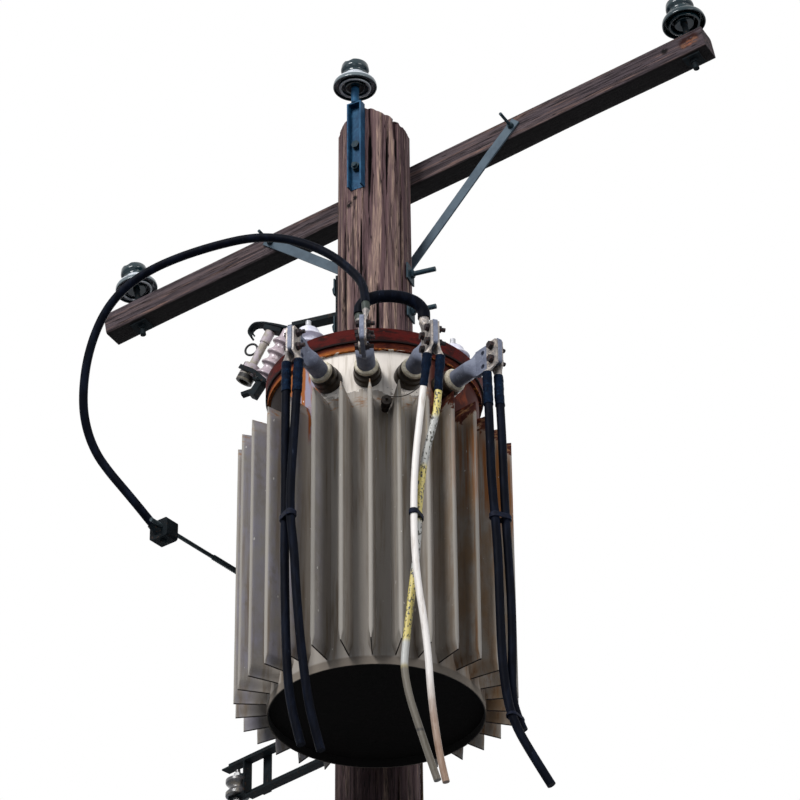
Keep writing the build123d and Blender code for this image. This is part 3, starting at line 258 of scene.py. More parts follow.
# Driving sizes and places, as in the part
POLE_HEIGHT = 8788
POLE_FOOT_RADIUS = 146
POLE_TAPER = 33
ARM_AZIMUTH = -28.3
ARM_SLOPE = -9.6
ARM_SHIFT = 19.2
ARM_HEIGHT = 8591.7
ARM_NOTCH = 8
ARM_HALF_LENGTH = 1100
ARM_MIDDLE = 41
ARM_TOP = 41.5
ARM_PINS = [-987, 1042]
PIN_STAND = 65
TOP_PIN = (2, 12.7, 8818)
CHANNEL_MIDDLE = 8597
CHANNEL_SEAT = 3.5
CHANNEL_THICKNESS = 5
CHANNEL_FRONT = pole_radius(CHANNEL_MIDDLE) - CHANNEL_SEAT + CHANNEL_THICKNESS
TANK_Y = -565
FIN_FOOT = 6346
FIN_TOP = 7160
BUSHING_AZIMUTHS = [-25.0, -3.5, 18.0, 39.5]
BUSHING_HEIGHT = 7229
LID_TOP = 7419
LID_RADIUS = 312
LID_RISE = 40

# Frames of the main fittings
at_arm = turn(ARM_AZIMUTH)
arm_frame = at_arm @ move(ARM_SHIFT, pole_radius(ARM_HEIGHT) - ARM_NOTCH, ARM_HEIGHT) @ turn(ARM_SLOPE, "Y")
cutout_frame = turn(-111) @ move(0, -284, 8041) @ turn(-28, "X")
neutral_frame = turn(-38) @ move(-80.7, 0, 6890)
pin_places = [arm_frame @ move(along, ARM_MIDDLE, ARM_TOP + PIN_STAND) for along in ARM_PINS]
pin_places.append(at_arm @ move(TOP_PIN[0], -CHANNEL_FRONT - TOP_PIN[1], TOP_PIN[2]))


def on_tank(azimuth, height=0):
    """Matrix on the tank's axis whose -Y points out at the azimuth."""
    return move(0, TANK_Y, height) @ turn(azimuth)


# Pin insulators: two glazed skirts and a saddled head, closed round the pin's blind hole
insulator_line = rounded([
    (0, 95), (42, 95, 9), (46, 69, 6), (36, 61, 4), (36, 50, 4), (46, 39, 6), (69, 20, 9), (70, 4, 3),
    (66, 2.5, 2), (61, 25, 4), (55, 26, 3), (50, 0, 2), (44, 0, 2), (41, 29, 4), (34, 30, 3), (31, 3, 2),
    (25, 2, 2), (10, 4, 3), (10, 50), (0, 50),
])
SADDLE_RADIUS = 13
SADDLE_AXIS = 98
HEAD_FROM = 60
insulator = lathe(insulator_line, Matrix.Identity(4), 72)
side, height = insulator[..., 0], insulator[..., 2]
saddle = SADDLE_AXIS - np.sqrt(np.clip(SADDLE_RADIUS ** 2 - side ** 2, 0, None))
dips = (np.abs(side) < SADDLE_RADIUS) & (height > HEAD_FROM)
insulator[..., 2] = np.where(dips, np.minimum(height, saddle), height)
insulators = [placed(insulator, place) for place in pin_places]
arm_insulators = made("arm_insulator_glaze", insulators[:2], ["arm_insulators"])
top_insulator = made("top_insulator_glaze", insulators[2:], ["pole_top_insulator"])

# Low voltage bushings: short cones with a turned shoulder, each with a moulded collar on its nose
bushing_line = rounded([
    (0, 288), (39, 288), (39.5, 304, 3), (39, 318, 5), (36.5, 322, 3), (36.5, 338, 4), (34.5, 345, 3),
    (0, 345),
])
collar_line = rounded([(0, 345), (33, 345, 2), (34, 349, 2), (33.6, 356, 3), (29, 360, 2), (0, 360)])
outwards = [on_tank(azimuth, BUSHING_HEIGHT) @ turn(90, "X") for azimuth in BUSHING_AZIMUTHS]
bushings = spun("lv_bushing_glaze", bushing_line, outwards, "lv_bushings")
collars = spun("bushing_collar_moulding", collar_line, outwards, "bushing_collars")

# High voltage bushings: three sheds under a round shoulder, each on a boss that stands on the domed lid
DOME = (LID_RADIUS ** 2 + LID_RISE ** 2) / (2 * LID_RISE)
BOSS = 34
hv_line = [(0, 0), (42, 0, 1), (42, 10, 3)]
for low in (18, 48, 78):
    hv_line += [(34, low, 3), (49, low + 4, 2), (50, low + 8, 3), (34, low + 19, 8)]
hv_line = rounded(hv_line + [(31, 119, 14), (0, 120)])
hv_places = [
    move(x, TANK_Y + y, (DOME ** 2 - x ** 2 - y ** 2) ** 0.5 + LID_TOP - DOME + BOSS)
    for x, y in ((-190, -44), (227, 44))
]
hv_bushings = spun("hv_bushing_glaze", hv_line, hv_places, "hv_bushings")

# The cutout's porcelain post: four sheds
post_line = [(0, -187), (20, -187, 3)]
for shed in range(4):
    low = -173 + shed * 39.25
    post_line += [(20, low, 4), (32, low + 5, 2), (33, low + 9, 3), (20, low + 25, 8)]
post_line = rounded(post_line + [(20, 0, 3), (0, 0)])
post_place = cutout_frame @ move(0, 0, -6)
cutout_post = spun("cutout_post_glaze", post_line, [post_place], "cutout_insulator")

# Cooling fins: sheet folded to a round nose, its flanks spread at the wall and both ends pinched
FIN_NOSE = 387.8
FIN_ROOT = 290
FLANK_END = 321
PINCH = 38
PINCHED = 1.5
FIN_FIRST = -1.8
FIN_STEP = 12
LAST_FIN = 160


def cooling_fin(where, wobble):
    """Half width over height and radius: a cosine step at each end times the flank, then a half circle."""
    ends = np.linspace(0, 42, 10)
    middle = np.linspace(FIN_FOOT + 74, FIN_TOP - 74, 16)
    height = np.concatenate([FIN_FOOT + ends, middle, FIN_TOP - 42 + ends])
    rise = np.clip(np.minimum(height - FIN_FOOT, FIN_TOP - height) / PINCH, 0, 1)
    full = ((1 - np.cos(pi * rise)) / 2)[:, None]
    half = PINCHED + 5.5 * full
    spread = PINCHED + 9.5 * full
    radius = np.concatenate([np.linspace(FIN_ROOT, FLANK_END, 6), np.linspace(336, 374, 4)])[None]
    flank = half + (spread - half) * np.clip((FLANK_END - radius) / 24, 0, 1) ** 1.6
    nose = FIN_NOSE - half
    radius = np.minimum(radius + 0 * half, nose - 0.3)
    arc = np.linspace(0, pi, 9)[None]
    across = np.concatenate([flank, half * np.cos(arc), -flank[:, ::-1]], axis=1)
    out = np.concatenate([radius, nose + half * np.sin(arc), radius[:, ::-1]], axis=1)
    sway = wobble * np.sin((height - FIN_FOOT) / 260)[:, None] * np.clip((out - 300) / 88, 0, 1)
    grid = np.stack([across + sway, -out, height[:, None] + 0 * out], axis=-1)
    return placed(grid, where)


source = np.random.default_rng(4)
left_fins, right_fins = [], []
for number in range(360 // FIN_STEP):
    azimuth = (FIN_FIRST + FIN_STEP * number + 180) % 360 - 180
    if abs(azimuth) < LAST_FIN:
        side = left_fins if azimuth < 0 else right_fins
        side.append(cooling_fin(on_tank(azimuth), source.uniform(-0.8, 0.8)))
fins = [
    made("folded_fins_left", left_fins, ["fins_left"]),
    made("folded_fins_right", right_fins, ["fins_right"]),
]

# Pole: fluted grain round a tapered trunk, a slanted, broken top, and drying cracks cut in
# Each crack's azimuth, height of the middle, length, width and depth
CRACKS = [
    (-8, 8560, 520, 14, 30), (22, 8560, 420, 12, 25), (36, 8700, 420, 18, 50), (3, 7800, 760, 18, 34),
    (-52, 8050, 900, 16, 30), (120, 7600, 1200, 20, 40), (-150, 5200, 1500, 18, 36), (10, 4300, 1400, 18, 36),
    (75, 2600, 1300, 20, 38), (-20, 8180, 620, 9, 20), (48, 8230, 700, 10, 20), (-36, 7560, 500, 8, 16),
    (-2, 6050, 700, 9, 18), (28, 6200, 500, 8, 16), (160, 8300, 700, 12, 24), (80, 8500, 420, 10, 20),
]
# The top's height and slope, where it steps down on the right, and its edge on the left with its own slope
ROOF = 8736
ROOF_SLOPE = 0.384
RIGHT_STEP = (68, 8702)
LEFT_STEP = (-58, 8748, 0.8)


def trunk():
    """Radius over angle and height: taper, wandering flutes, and a V for each crack, deepest at its middle.

    The top is a slanted plane with a step down on the right and a steeper edge on the left, all rippled.
    """
    height = np.concatenate([
        np.linspace(0, 5700, 60), np.linspace(5720, 7300, 70), np.linspace(7310, 8780, 190),
    ])[:, None]
    angle = np.linspace(0, 2 * pi, 208, endpoint=False)[None]
    wander = height / 900
    flutes = sum(
        np.sin(count * angle + 1.7 * count + 2 * np.sin(wander * (0.6 + 0.11 * number) + count))
        for number, count in enumerate((5, 11, 17, 26, 37, 52))
    )
    radius = pole_radius(height) + 0.45 * flutes - 0.8
    for azimuth, middle, length, width, depth in CRACKS:
        path = radians(azimuth - 90) + 0.03 * np.sin(height / 130 + azimuth)
        aside = pole_radius(height) * ((angle - path + pi) % (2 * pi) - pi)
        opening = np.clip(1 - np.abs(height - middle) / (length / 2), 0, 1)
        half = width / 2 * opening + 0.01
        radius = radius - depth * opening * np.clip(1 - np.abs(aside) / half, 0, 1)
    x, y = radius * np.cos(angle), radius * np.sin(angle)
    body = np.stack([x, y, height + 0 * angle], axis=-1)
    share = np.linspace(1, 0, 36)[1:, None]
    top = np.stack([x[-1] * share, y[-1] * share, 9000 + 0 * share * angle[0]], axis=-1)
    grid = np.concatenate([body, top])
    x, y = grid[..., 0], grid[..., 1]
    roof = ROOF - x * ROOF_SLOPE
    edge, low = RIGHT_STEP
    roof = np.where(x > edge, np.minimum(roof, low), roof)
    edge, low, slope = LEFT_STEP
    roof = np.where(x < edge, np.minimum(roof, low + (x - edge) * slope), roof)
    roof = roof + 2.5 * ripples(x / 30, y / 30, 9, 3)
    grid[..., 2] = np.minimum(grid[..., 2], roof)
    return grid


pole = made("weathered_trunk", [trunk()], ["pole"], crease=38)

# Crossarm: sawn timber with worn corners and raised grain
HALF_DEEP = 40.6
HALF_HIGH = 41.3
ROUND = 88


def timber():
    """A rounded rectangle carried along the arm, its corners worn by slow ripples and its faces furrowed."""
    section = evenly(rounded([
        (0, -HALF_HIGH), (HALF_DEEP, -HALF_HIGH, 4), (HALF_DEEP, HALF_HIGH, 8),
        (-HALF_DEEP, HALF_HIGH, 8), (-HALF_DEEP, -HALF_HIGH, 4), (0, -HALF_HIGH),
    ])[:-1], ROUND, closed=True)
    along = np.linspace(-ARM_HALF_LENGTH, ARM_HALF_LENGTH, 260)[:, None]
    across, up = section[:, 0][None], section[:, 1][None]
    spot = np.arange(ROUND)[None] * (2 * pi / ROUND)
    furrows = sum(
        np.sin(count * spot + 0.9 * count + 1.5 * np.sin(along / (300 + 90 * number) + count))
        for number, count in enumerate((13, 22, 31, 43))
    )
    corner = np.clip((np.abs(across) / HALF_DEEP) ** 8 * (np.abs(up) / HALF_HIGH) ** 8, 0, 1)
    wear = corner * (1.6 + 1.6 * ripples(along / 240, spot, 8, 12, 4))
    shrink = 1 - (0.35 * (furrows * 0.25 + 1) + np.clip(wear, 0, 5)) / 41
    grid = np.stack([along + 0 * spot, ARM_MIDDLE + across * shrink, up * shrink], axis=-1)
    ends = np.linspace(1, 0, 5)[1:, None, None]
    caps = []
    for row in (0, -1):
        middle = grid[row].mean(axis=0)
        caps.append(middle + (grid[row] - middle) * ends)
    grid = np.concatenate([caps[0][::-1], grid, caps[1]])
    return placed(grid, arm_frame)


arm = made("weathered_arm", [timber()], ["crossarm"], crease=50)

# Neutral grip: an eye with its shank, and strands wound round the wire at an even lay
EYE_MIDDLE = -145
EYE_RADIUS = 22
GRIP_LENGTH = 466
GRIP_LAY = 62
STRANDS = 8
angle = np.linspace(0, 2 * pi, 49)[:-1]
ring = np.stack([0 * angle, EYE_MIDDLE + EYE_RADIUS * np.cos(angle), EYE_RADIUS * np.sin(angle)], axis=1)
ring = np.concatenate([ring, ring[:2]])
shank = np.linspace((0, -124, 0), (0, -42, 0), 12)
wound = [tube(ring, 6.8, 12, (1, 0, 0)), tube(shank, 7.8, 12)]
share = np.linspace(0, 1, 240)
for strand in range(STRANDS):
    spin = 2 * pi * (share * GRIP_LENGTH / GRIP_LAY + strand / STRANDS)
    path = np.stack([7.1 * np.cos(spin), -174 - GRIP_LENGTH * share, 7.1 * np.sin(spin)], axis=1)
    wound.append(tube(path, 1.45, 6))
wound = [placed(grid, neutral_frame) for grid in wound]
grip = made("wound_grip", wound, ["neutral_grip"])

# Shrink sleeves: each follows its lug's barrel, necks in below it and grips its lead with a wavy mouth
SLEEVE_TOP = 7162.8
BARREL = 13.4
share = np.linspace(0, 1, 26)
around = np.arange(24) * (2 * pi / 24)
sleeves = []
for number, (name, (diameter, *_)) in enumerate(list(cord_facts.items())[:6]):
    first, second = (np.array(point) * 1000 for point in routes[name][:2])
    way = (first - second) / np.linalg.norm(first - second)
    mouth = first + way * (SLEEVE_TOP - first[2]) / way[2]
    length = np.linalg.norm(mouth - first)
    lead = diameter * 500 + 1.6
    radius = BARREL + (lead - BARREL) * np.clip((share * length - 34) / 22, 0, 1) ** 0.7
    radius = radius + 0.35 * np.sin(share * 21 + number) + 0.2 * np.sin(share * 47)
    path = mouth - way * 2 - way * share[:, None] * (length + 4)
    bend = ripples(share * 3, 0 * share, 4, number, 3)[:, None] * np.array([0.5, 0.5, 0])
    grid = tube(path + bend * np.sin(pi * share)[:, None], radius, len(around), (0, 1, 0))
    grid[-1] += way * (1.5 * np.sin(2 * around + number))[:, None]
    sleeves.append(grid)
shrunk = made("shrunk_sleeves", sleeves, ["shrink_sleeves"])

# Tape wraps round each pair of leads: a flat strip wound twice, drifting down a little with each turn


def halved(line):
    """Corners cut at a quarter and three quarters of each side, three times: nearly the cord's own curve."""
    for _ in range(3):
        near, far = line[:-1] * 0.75 + line[1:] * 0.25, line[:-1] * 0.25 + line[1:] * 0.75
        line = np.concatenate([line[:1], np.stack([near, far], axis=1).reshape(-1, 3)[1:-1], line[-1:]])
    return line


def wrap(first, second, level, width):
    """A strip round two leads at a level: at each angle, the point of the circle that stands out further."""
    middles = []
    for name in (first, second):
        line = halved(np.array(routes[name]) * 1000)[::-1]
        middles.append(np.array([np.interp(level, line[:, 2], column) for column in line.T]))
    aside = middles[1] - middles[0]
    gap = np.linalg.norm(aside)
    aside /= gap
    out = np.cross(aside, (0, 0, 1))
    out /= np.linalg.norm(out)
    along = np.cross(out, aside)
    spin = np.linspace(0, 4.4 * pi, 150)[:, None]
    strip = evenly(rounded([(0, 0), (1.3, 0, 0.6), (1.3, width, 0.6), (0, width, 0.6), (0, 0)]), 14)[None]
    reach = strip[..., 0] + 0.6 + spin * 0.18 + 0.3 * np.sin(3 * spin + level)
    radii = [cord_facts[name][0] * 500 + reach for name in (first, second)]
    beyond = gap * np.cos(spin) + radii[1] > radii[0]
    x = np.where(beyond, gap + radii[1] * np.cos(spin), radii[0] * np.cos(spin))
    y = np.where(beyond, radii[1], radii[0]) * np.sin(spin)
    z = strip[..., 1] - width / 2 - spin * 0.35 + 0.6 * np.sin(spin * 1.7 + level)
    return middles[0] + x[..., None] * aside + y[..., None] * out + z[..., None] * along


wraps = made("lead_wraps", [
    wrap("lead_left_outer", "lead_left_inner", 6672, 15),
    wrap("lead_white", "lead_yellow", 6668, 14),
    wrap("lead_right_inner", "lead_right_outer", 6702, 14),
    wrap("lead_right_inner", "lead_right_outer", 6094, 7),
], ["cable_ties"])

# The cutout's metalwork: a hooked hood over the fuse, and below a forked strap that carries its fitting


def strap(path, width, thick):
    """A flat bar along a (side, forward, height) path: its rounded section's long way across the path."""
    along = direction(path)
    side = np.array([[1.0, 0, 0]]) + 0 * along
    other = np.cross(along, side)
    square = [(0, -1), (1, -1, 0.1), (1, 1, 0.1), (-1, 1, 0.1), (-1, -1, 0.1), (0, -1)]
    section = evenly(rounded(square)[:-1], 24, closed=True) / 2
    across = section[:, :1] * each(width, path) * side[:, None]
    return path[:, None] + across + section[:, 1:] * each(thick, path) * other[:, None]


def bent(corners, count=26, bend=14):
    """Corners of a line joined by straight runs and round bends."""
    spots = np.array(corners, float)
    flat = evenly(rounded([(*spot, bend) for spot in spots[:, 1:]], 7), count)
    side = np.interp(np.linspace(0, 1, count), np.linspace(0, 1, len(spots)), spots[:, 0])
    return np.stack([side, flat[:, 0], flat[:, 1]], axis=1)


FORK = -193
hook = bent([(0, 22, -4), (0, -90, -4), (0, -128, -14), (0, -133, -46), (0, -112, -60)])
step = np.arange(len(hook))
bars = [
    strap(hook, np.interp(step, [0, 12, 25], [44, 40, 24]), 6),
    strap(bent([(0, -20, -13), (0, -84, -16)], 10), 34, 18),
    strap(hook + np.array([0, 4, 9]), np.interp(step, [0, 8, 14, 25], [16, 16, 4, 3]), 5),
]
for side in (-1, 1):
    prong = [(side * 20, 20, FORK - 4), (side * 31, -24, FORK + 12), (side * 31, -82, FORK + 18)]
    bars.append(strap(bent(prong, 20, 8), 5, 15))
bars += [
    strap(bent([(0, 22, FORK - 4), (0, -24, FORK - 4)], 8), 44, 8),
    strap(bent([(0, 0, FORK - 6), (0, -6, FORK - 58)], 8), 34, 22),
    strap(bent([(0, -14, FORK - 40), (0, -44, FORK - 62)], 8), 20, 12),
]
bars = [placed(grid, cutout_frame) for grid in bars]
cutout_metal = made("cutout_hook_and_fork", bars, ["cutout_contacts"])

# The relief valve's wire: from its ring round to the next bushing, sagging by a half sine
share = np.linspace(0, 1, 40)
sag = np.sin(pi * share)
path = np.stack([44 + 84 * share, -946 - 22 * sag, 7106 - 20 * sag + 34 * share ** 2], axis=1)
wire_loop = made("valve_wire", [tube(path, 1.3, 8, (0, 0.3, 1))])

# Finishes: reliefs that are too fine for the camera, such as spray, bloom and glaze, are drawn coarser


def linear(code):
    """sRGB hex to linear RGBA."""
    values = [int(code[i:i + 2], 16) / 255 for i in (1, 3, 5)]
    return [v / 12.92 if v <= 0.04045 else ((v + 0.055) / 1.055) ** 2.4 for v in values] + [1]


def add(tree, kind, inputs=None, out=0, **settings):
    """One node with its settings and its inputs (values, hex colours or links); gives one of its outputs."""
    node = tree.nodes.new("ShaderNode" + kind)
    for name, value in settings.items():
        setattr(node, name, value)
    for name, value in (inputs or {}).items():
        if isinstance(value, bpy.types.NodeSocket):
            tree.links.new(value, node.inputs[name])
        else:
            node.inputs[name].default_value = linear(value) if isinstance(value, str) else value
    return node.outputs[out]


def cloud(place, size, turned, detail, rough):
    """Noise about 0.5 with blotches of three sizes in millimetres along the axes, which may be turned."""
    spin = [radians(angle) for angle in turned]
    grain = {"Vector": place, "Scale": [side / 1000 for side in size], "Rotation": spin}
    scaled = add(place.id_data, "Mapping", grain, vector_type="TEXTURE")
    noise = {"Vector": scaled, "Scale": 1.0, "Detail": detail, "Roughness": rough}
    return add(place.id_data, "TexNoise", noise)


def patches(place, size, low, high, turned=(0, 0, 0), detail=4.0):
    """Mask of soft blotches: a smooth step from 0 to 1 where the noise goes from low to high."""
    ends = {"Value": cloud(place, size, turned, detail, 0.6), "From Min": low, "From Max": high}
    return add(place.id_data, "MapRange", ends, interpolation_type="SMOOTHSTEP")


def lines(place, size, width, turned=(0, 0, 0)):
    """Mask of thin wandering lines: where a stretched noise passes through its middle value."""
    tree = place.id_data
    away = add(tree, "Math", {0: cloud(place, size, turned, 3.0, 0.55), 1: 0.5}, operation="SUBTRACT")
    away = add(tree, "Math", {0: away}, operation="ABSOLUTE")
    return add(tree, "MapRange", {"Value": away, "From Min": width, "From Max": 0.0})


def product(*masks):
    """Where all the masks are."""
    result = masks[0]
    for mask in masks[1:]:
        result = add(mask.id_data, "Math", {0: result, 1: mask}, operation="MULTIPLY")
    return result


def zone(value, start, end, soft):
    """Mask of a stretch of a coordinate, in metres: the product of a smooth step up and one down."""
    edges = ((start - soft, start + soft), (end + soft, end - soft))
    return product(*[
        add(value.id_data, "MapRange", {"Value": value, "From Min": low, "From Max": high},
            interpolation_type="SMOOTHSTEP")
        for low, high in edges
    ])


def local_place(place, where):
    """The place in a matrix's own frame: its three coordinates and its distance from +Z, in metres."""
    tree = place.id_data
    origin = {"Vector": place, "Location": where.translation / 1000, "Rotation": where.to_euler()}
    local = add(tree, "Mapping", origin, vector_type="TEXTURE")
    flat = add(tree, "VectorMath", {0: local, 1: (1, 1, 0)}, operation="MULTIPLY")
    radius = add(tree, "VectorMath", {0: flat}, out="Value", operation="LENGTH")
    return [add(tree, "SeparateXYZ", {"Vector": local}, out=axis) for axis in range(3)] + [radius]


def coats(base, *layers):
    """The base colour with each (colour, mask) laid over it in turn."""
    for colour, mask in layers:
        base = add(mask.id_data, "Mix", {0: mask, 6: base, 7: colour}, out=2, data_type="RGBA")
    return base


def finish(name, roughness, metallic=0.0, specular=0.5, **shader):
    """A new material, the object coordinates and their three parts."""
    material = bpy.data.materials.new(name)
    material.use_nodes = True
    tree = material.node_tree
    surface = tree.nodes["Principled BSDF"]
    settings = {"Roughness": roughness, "Metallic": metallic, "Specular_IOR_Level": specular, **shader}
    for key, value in settings.items():
        surface.inputs[key.replace("_", " ")].default_value = value
    place = add(tree, "TexCoord", out="Object")
    parts = [add(tree, "SeparateXYZ", {"Vector": place}, out=axis) for axis in range(3)]
    return material, place, parts


def close(material, colour, height=None, depth=0.0, roughness=None):
    """Joins a colour, a relief of a real depth in metres and a roughness to a material, and gives it."""
    tree = material.node_tree
    surface = tree.nodes["Principled BSDF"]
    tree.links.new(colour, surface.inputs["Base Color"])
    if height is not None:
        relief = add(tree, "Bump", {"Height": height, "Distance": depth})
        tree.links.new(relief, surface.inputs["Normal"])
    if roughness is not None:
        tree.links.new(roughness, surface.inputs["Roughness"])
    return material


def mottled(name, base, accent, roughness, metallic, size, depth=0.0004, third=None, specular=0.5):
    """A finish with blotches of a second colour, smaller ones of a third, and a fine relief."""
    material, place, _ = finish(name, roughness, metallic, specular)
    layers = [(accent, patches(place, [size] * 3, 0.4, 0.65))]
    if third:
        layers.append((third, patches(place, [size / 2.5] * 3, 0.58, 0.68)))
    return close(material, coats(base, *layers), patches(place, [size / 6] * 3, 0.2, 0.8), depth)


# Heights on the tank in metres: the skirt's top, and one above everything on the wall
SKIRT_TOP = 6.343
ABOVE = 7.6


def tank_paint():
    """Sprayed enamel on steel, chalked by sun: a warm dull grey with dust, rust runs and pale chips.

    High on the wall it has flaked: cream primer between the bushings down to a ragged line, orange runs to
    the left, and to the right maroon oxide. Light and shade are painted in too: the wall and fin roots
    lighter for light in the valleys, the fin noses a little lighter as highlights, and near-black painted
    shade inside the skirt under the tank and on the far left of the upper wall.
    """
    material, place, (x, _, z) = finish("chalked enamel on steel", 0.75, specular=0.12)
    *_, radius = local_place(place, on_tank(0))
    # What lies all over it: dirt in clouds, dots and runs, and small chips
    clouds = patches(place, (90, 90, 160), 0.35, 0.7)
    blotches = patches(place, (55, 55, 70), 0.4, 0.7)
    dust = patches(place, (16, 16, 24), 0.4, 0.75)
    runs = patches(place, (12, 12, 240), 0.5, 0.72)
    grime = patches(place, (26, 26, 420), 0.46, 0.72)
    streak = patches(place, (26, 26, 150), 0.42, 0.54)
    chips = patches(place, (13, 13, 26), 0.775, 0.78, detail=1.0)
    # The tank's parts by radius and height
    bare_wall = zone(radius, 0.0, 0.31, 0.004)
    # inner: the wall and fin roots in a lighter colour, painted light in the valleys between the fins
    inner = zone(radius, 0.0, 0.335, 0.02)
    # The fin noses a little lighter: a painted highlight
    lit_noses = zone(radius, 0.3835, 0.5, 0.002)
    skirt = zone(z, 6.2, SKIRT_TOP, 0.004)
    # inside: near-black painted shade in the recess inside the skirt under the tank
    inside = product(zone(radius, -1.0, 0.2945, 0.0005), zone(z, 6.2, SKIRT_TOP, 0.001))
    slits = product(zone(radius, 0.299, 0.5, 0.002), zone(z, 6.34, 6.348, 0.0008))
    tops = product(zone(z, 7.125, 7.17, 0.012), patches(place, (24, 24, 9), 0.5, 0.72))
    # Its weathering from left to right, above a ragged height where it is torn, and near-black painted shade
    # on the far left of the upper wall
    ragged = patches(place, (34, 34, 26), 0.25, 0.75)
    torn = add(place.id_data, "Math", {0: ragged, 1: -0.05, 2: z}, operation="MULTIPLY_ADD")
    left = zone(x, -0.6, -0.16, 0.12)
    far_right = zone(x, 0.2, 0.6, 0.1)
    shaded = product(zone(z, 7.1, ABOVE, 0.04), zone(x, -0.6, -0.245, 0.008), bare_wall)
    orange = product(zone(z, 7.05, ABOVE, 0.03), zone(x, -0.36, -0.15, 0.012), bare_wall)
    clean = product(zone(torn, 7.155, ABOVE, 0.0015), zone(x, -0.155, 0.15, 0.012))
    rusted = product(zone(torn, 7.095, ABOVE, 0.006), zone(x, 0.15, 0.6, 0.02))
    maroon = product(rusted, patches(place, (30, 30, 60), 0.3, 0.5))
    stains = product(
        zone(x, 0.22, 0.6, 0.05), zone(z, 6.85, 7.09, 0.06),
        patches(place, (12, 12, 320), 0.36, 0.62),
    )
    colour = coats(
        "#938d85",
        ("#837d76", clouds),
        ("#8e8a92", product(left, patches(place, (60, 60, 90), 0.3, 0.7))),
        ("#7d756d", product(dust, blotches)), ("#a19a92", inner),
        ("#8c6f50", product(far_right, clouds)), ("#7a5738", product(far_right, runs)),
        ("#7b6e60", grime), ("#98928a", lit_noses), ("#7a7167", skirt),
        ("#8a7a5e", product(zone(z, 6.9, 7.17, 0.05), zone(x, 0.02, 0.2, 0.06), runs)),
        ("#ded5cb", clean),
        ("#c3b9ad", product(clean, patches(place, (14, 14, 120), 0.5, 0.7))),
        ("#8f8998", orange), ("#93562a", product(orange, streak)),
        ("#130a08", shaded), ("#6a2f18", rusted), ("#36120d", maroon), ("#8a6444", tops),
        ("#8c5a30", stains), ("#d5d0c8", chips), ("#241f1c", slits), ("#0c0a09", inside),
    )
    return close(material, colour, patches(place, (4, 4, 4), 0.2, 0.8), 0.0003)


def lid_paint():
    """Iron oxide left where the lid's enamel went: dark maroon, matt, with a dark seam round the rim."""
    material, place, (*_, z) = finish("maroon oxide on steel", 0.75, specular=0.1)
    colour = coats(
        "#470c08",
        ("#220605", patches(place, (40, 40, 14), 0.42, 0.66)),
        ("#66190f", patches(place, (18, 18, 8), 0.62, 0.74)),
        ("#120505", zone(z, 7.333, 7.3405, 0.0012)),
    )
    return close(material, colour, patches(place, (3, 3, 3), 0.2, 0.8), 0.0006)


def band_rust():
    """Rusted strip: dark scale, orange-brown where water stands on its left, pale flakes on its edge."""
    material, place, (x, _, z) = finish("scaling rust on a steel strip", 0.85, specular=0.1)
    wet = product(zone(x, -0.4, -0.01, 0.03), zone(z, 7.3, 7.323, 0.005))
    edge = zone(z, 7.309, 7.3155, 0.002)
    flakes = product(zone(z, 7.305, 7.3135, 0.001), zone(x, -0.2, 0.1, 0.01))
    colour = coats(
        "#35110b",
        ("#4f2013", patches(place, (24, 24, 8), 0.42, 0.6)),
        ("#8a4b24", product(wet, patches(place, (40, 40, 7), 0.25, 0.5))),
        ("#a8662f", product(edge, patches(place, (16, 16, 5), 0.5, 0.6))),
        ("#d8cfc2", product(flakes, patches(place, (22, 22, 9), 0.58, 0.6))),
    )
    return close(material, colour, patches(place, (4, 4, 3), 0.2, 0.8), 0.0012)


def weathered_wood(name, turned, grain, colours, marks, extra):
    """Old pine: soft summer wood worn back between ridges, in streaks along the grain, with checks dark with
    painted shade.

    Each mark, a knot or a chip, is a ragged spot with its colour, its place and its radius in metres. The
    layers that one timber has by itself come from extra, which is given the place.
    """
    material, place, _ = finish(name, 0.85, specular=0.15)
    base, light, dark, pale, check = colours

    def streaks(factor, low, high):
        return patches(place, [side * factor for side in grain], low, high, turned)

    fine_grain = streaks(1 / 3, 0.35, 0.65)
    checks = lines(place, [side * 2.2 for side in grain], 0.022, turned)
    layers = [
        (light, streaks(5, 0.42, 0.62)),
        (dark, product(streaks(1, 0.35, 0.65), streaks(3, 0.4, 0.6))),
        (pale, product(fine_grain, streaks(2.5, 0.5, 0.65))),
        # The checks' dark colour is painted shade inside the cracks
        (check, checks),
    ]
    layers += extra(place)
    for tint, centre, size in marks:
        away = add(place.id_data, "VectorMath", {0: place, 1: centre}, out="Value", operation="DISTANCE")
        worn = patches(place, (18, 9, 9), 0.36, 0.46, turned)
        layers.append((tint, product(zone(away, -1.0, size, size / 2), worn)))
    ridge = add(place.id_data, "Math", {0: fine_grain, 1: checks}, operation="SUBTRACT")
    return close(material, coats(base, *layers), ridge, 0.0016)


def trunk_layers(place):
    """The trunk's own: painted shade, black, inside its cracks, browner below the tank, and on its front
    there a near-black painted shadow of the tank.

    A crack's depth is told by the radius plus the taper's share of the height, the same all the way up.
    """
    _, y, z, radius = local_place(place, Matrix.Identity(4))
    straightened = {0: z, 1: POLE_TAPER / POLE_HEIGHT, 2: radius}
    depth = add(place.id_data, "Math", straightened, operation="MULTIPLY_ADD")
    streaks = patches(place, (20, 20, 600), 0.2, 0.6)
    return [
        # Painted shade, black, inside the cracks, by their depth
        (KNOT_AND_CRACK_SHADE, product(zone(depth, 0.06, 0.1405, 0.0018), zone(z, -1.0, 8.64, 0.01))),
        ("#40322c", product(zone(z, -1.0, 6.1, 0.3), streaks)),
        # A near-black painted shadow of the tank on the pole's front below it
        ("#060404", product(zone(z, 4.9, 6.26, 0.35), zone(y, -0.3, -0.03, 0.04))),
    ]


def arm_layers(place):
    """The arm's own: painted shade, near black, underneath."""
    _, _, up, _ = local_place(place, arm_frame)
    return [("#100c0c", zone(up, -1.0, -0.0385, 0.002))]


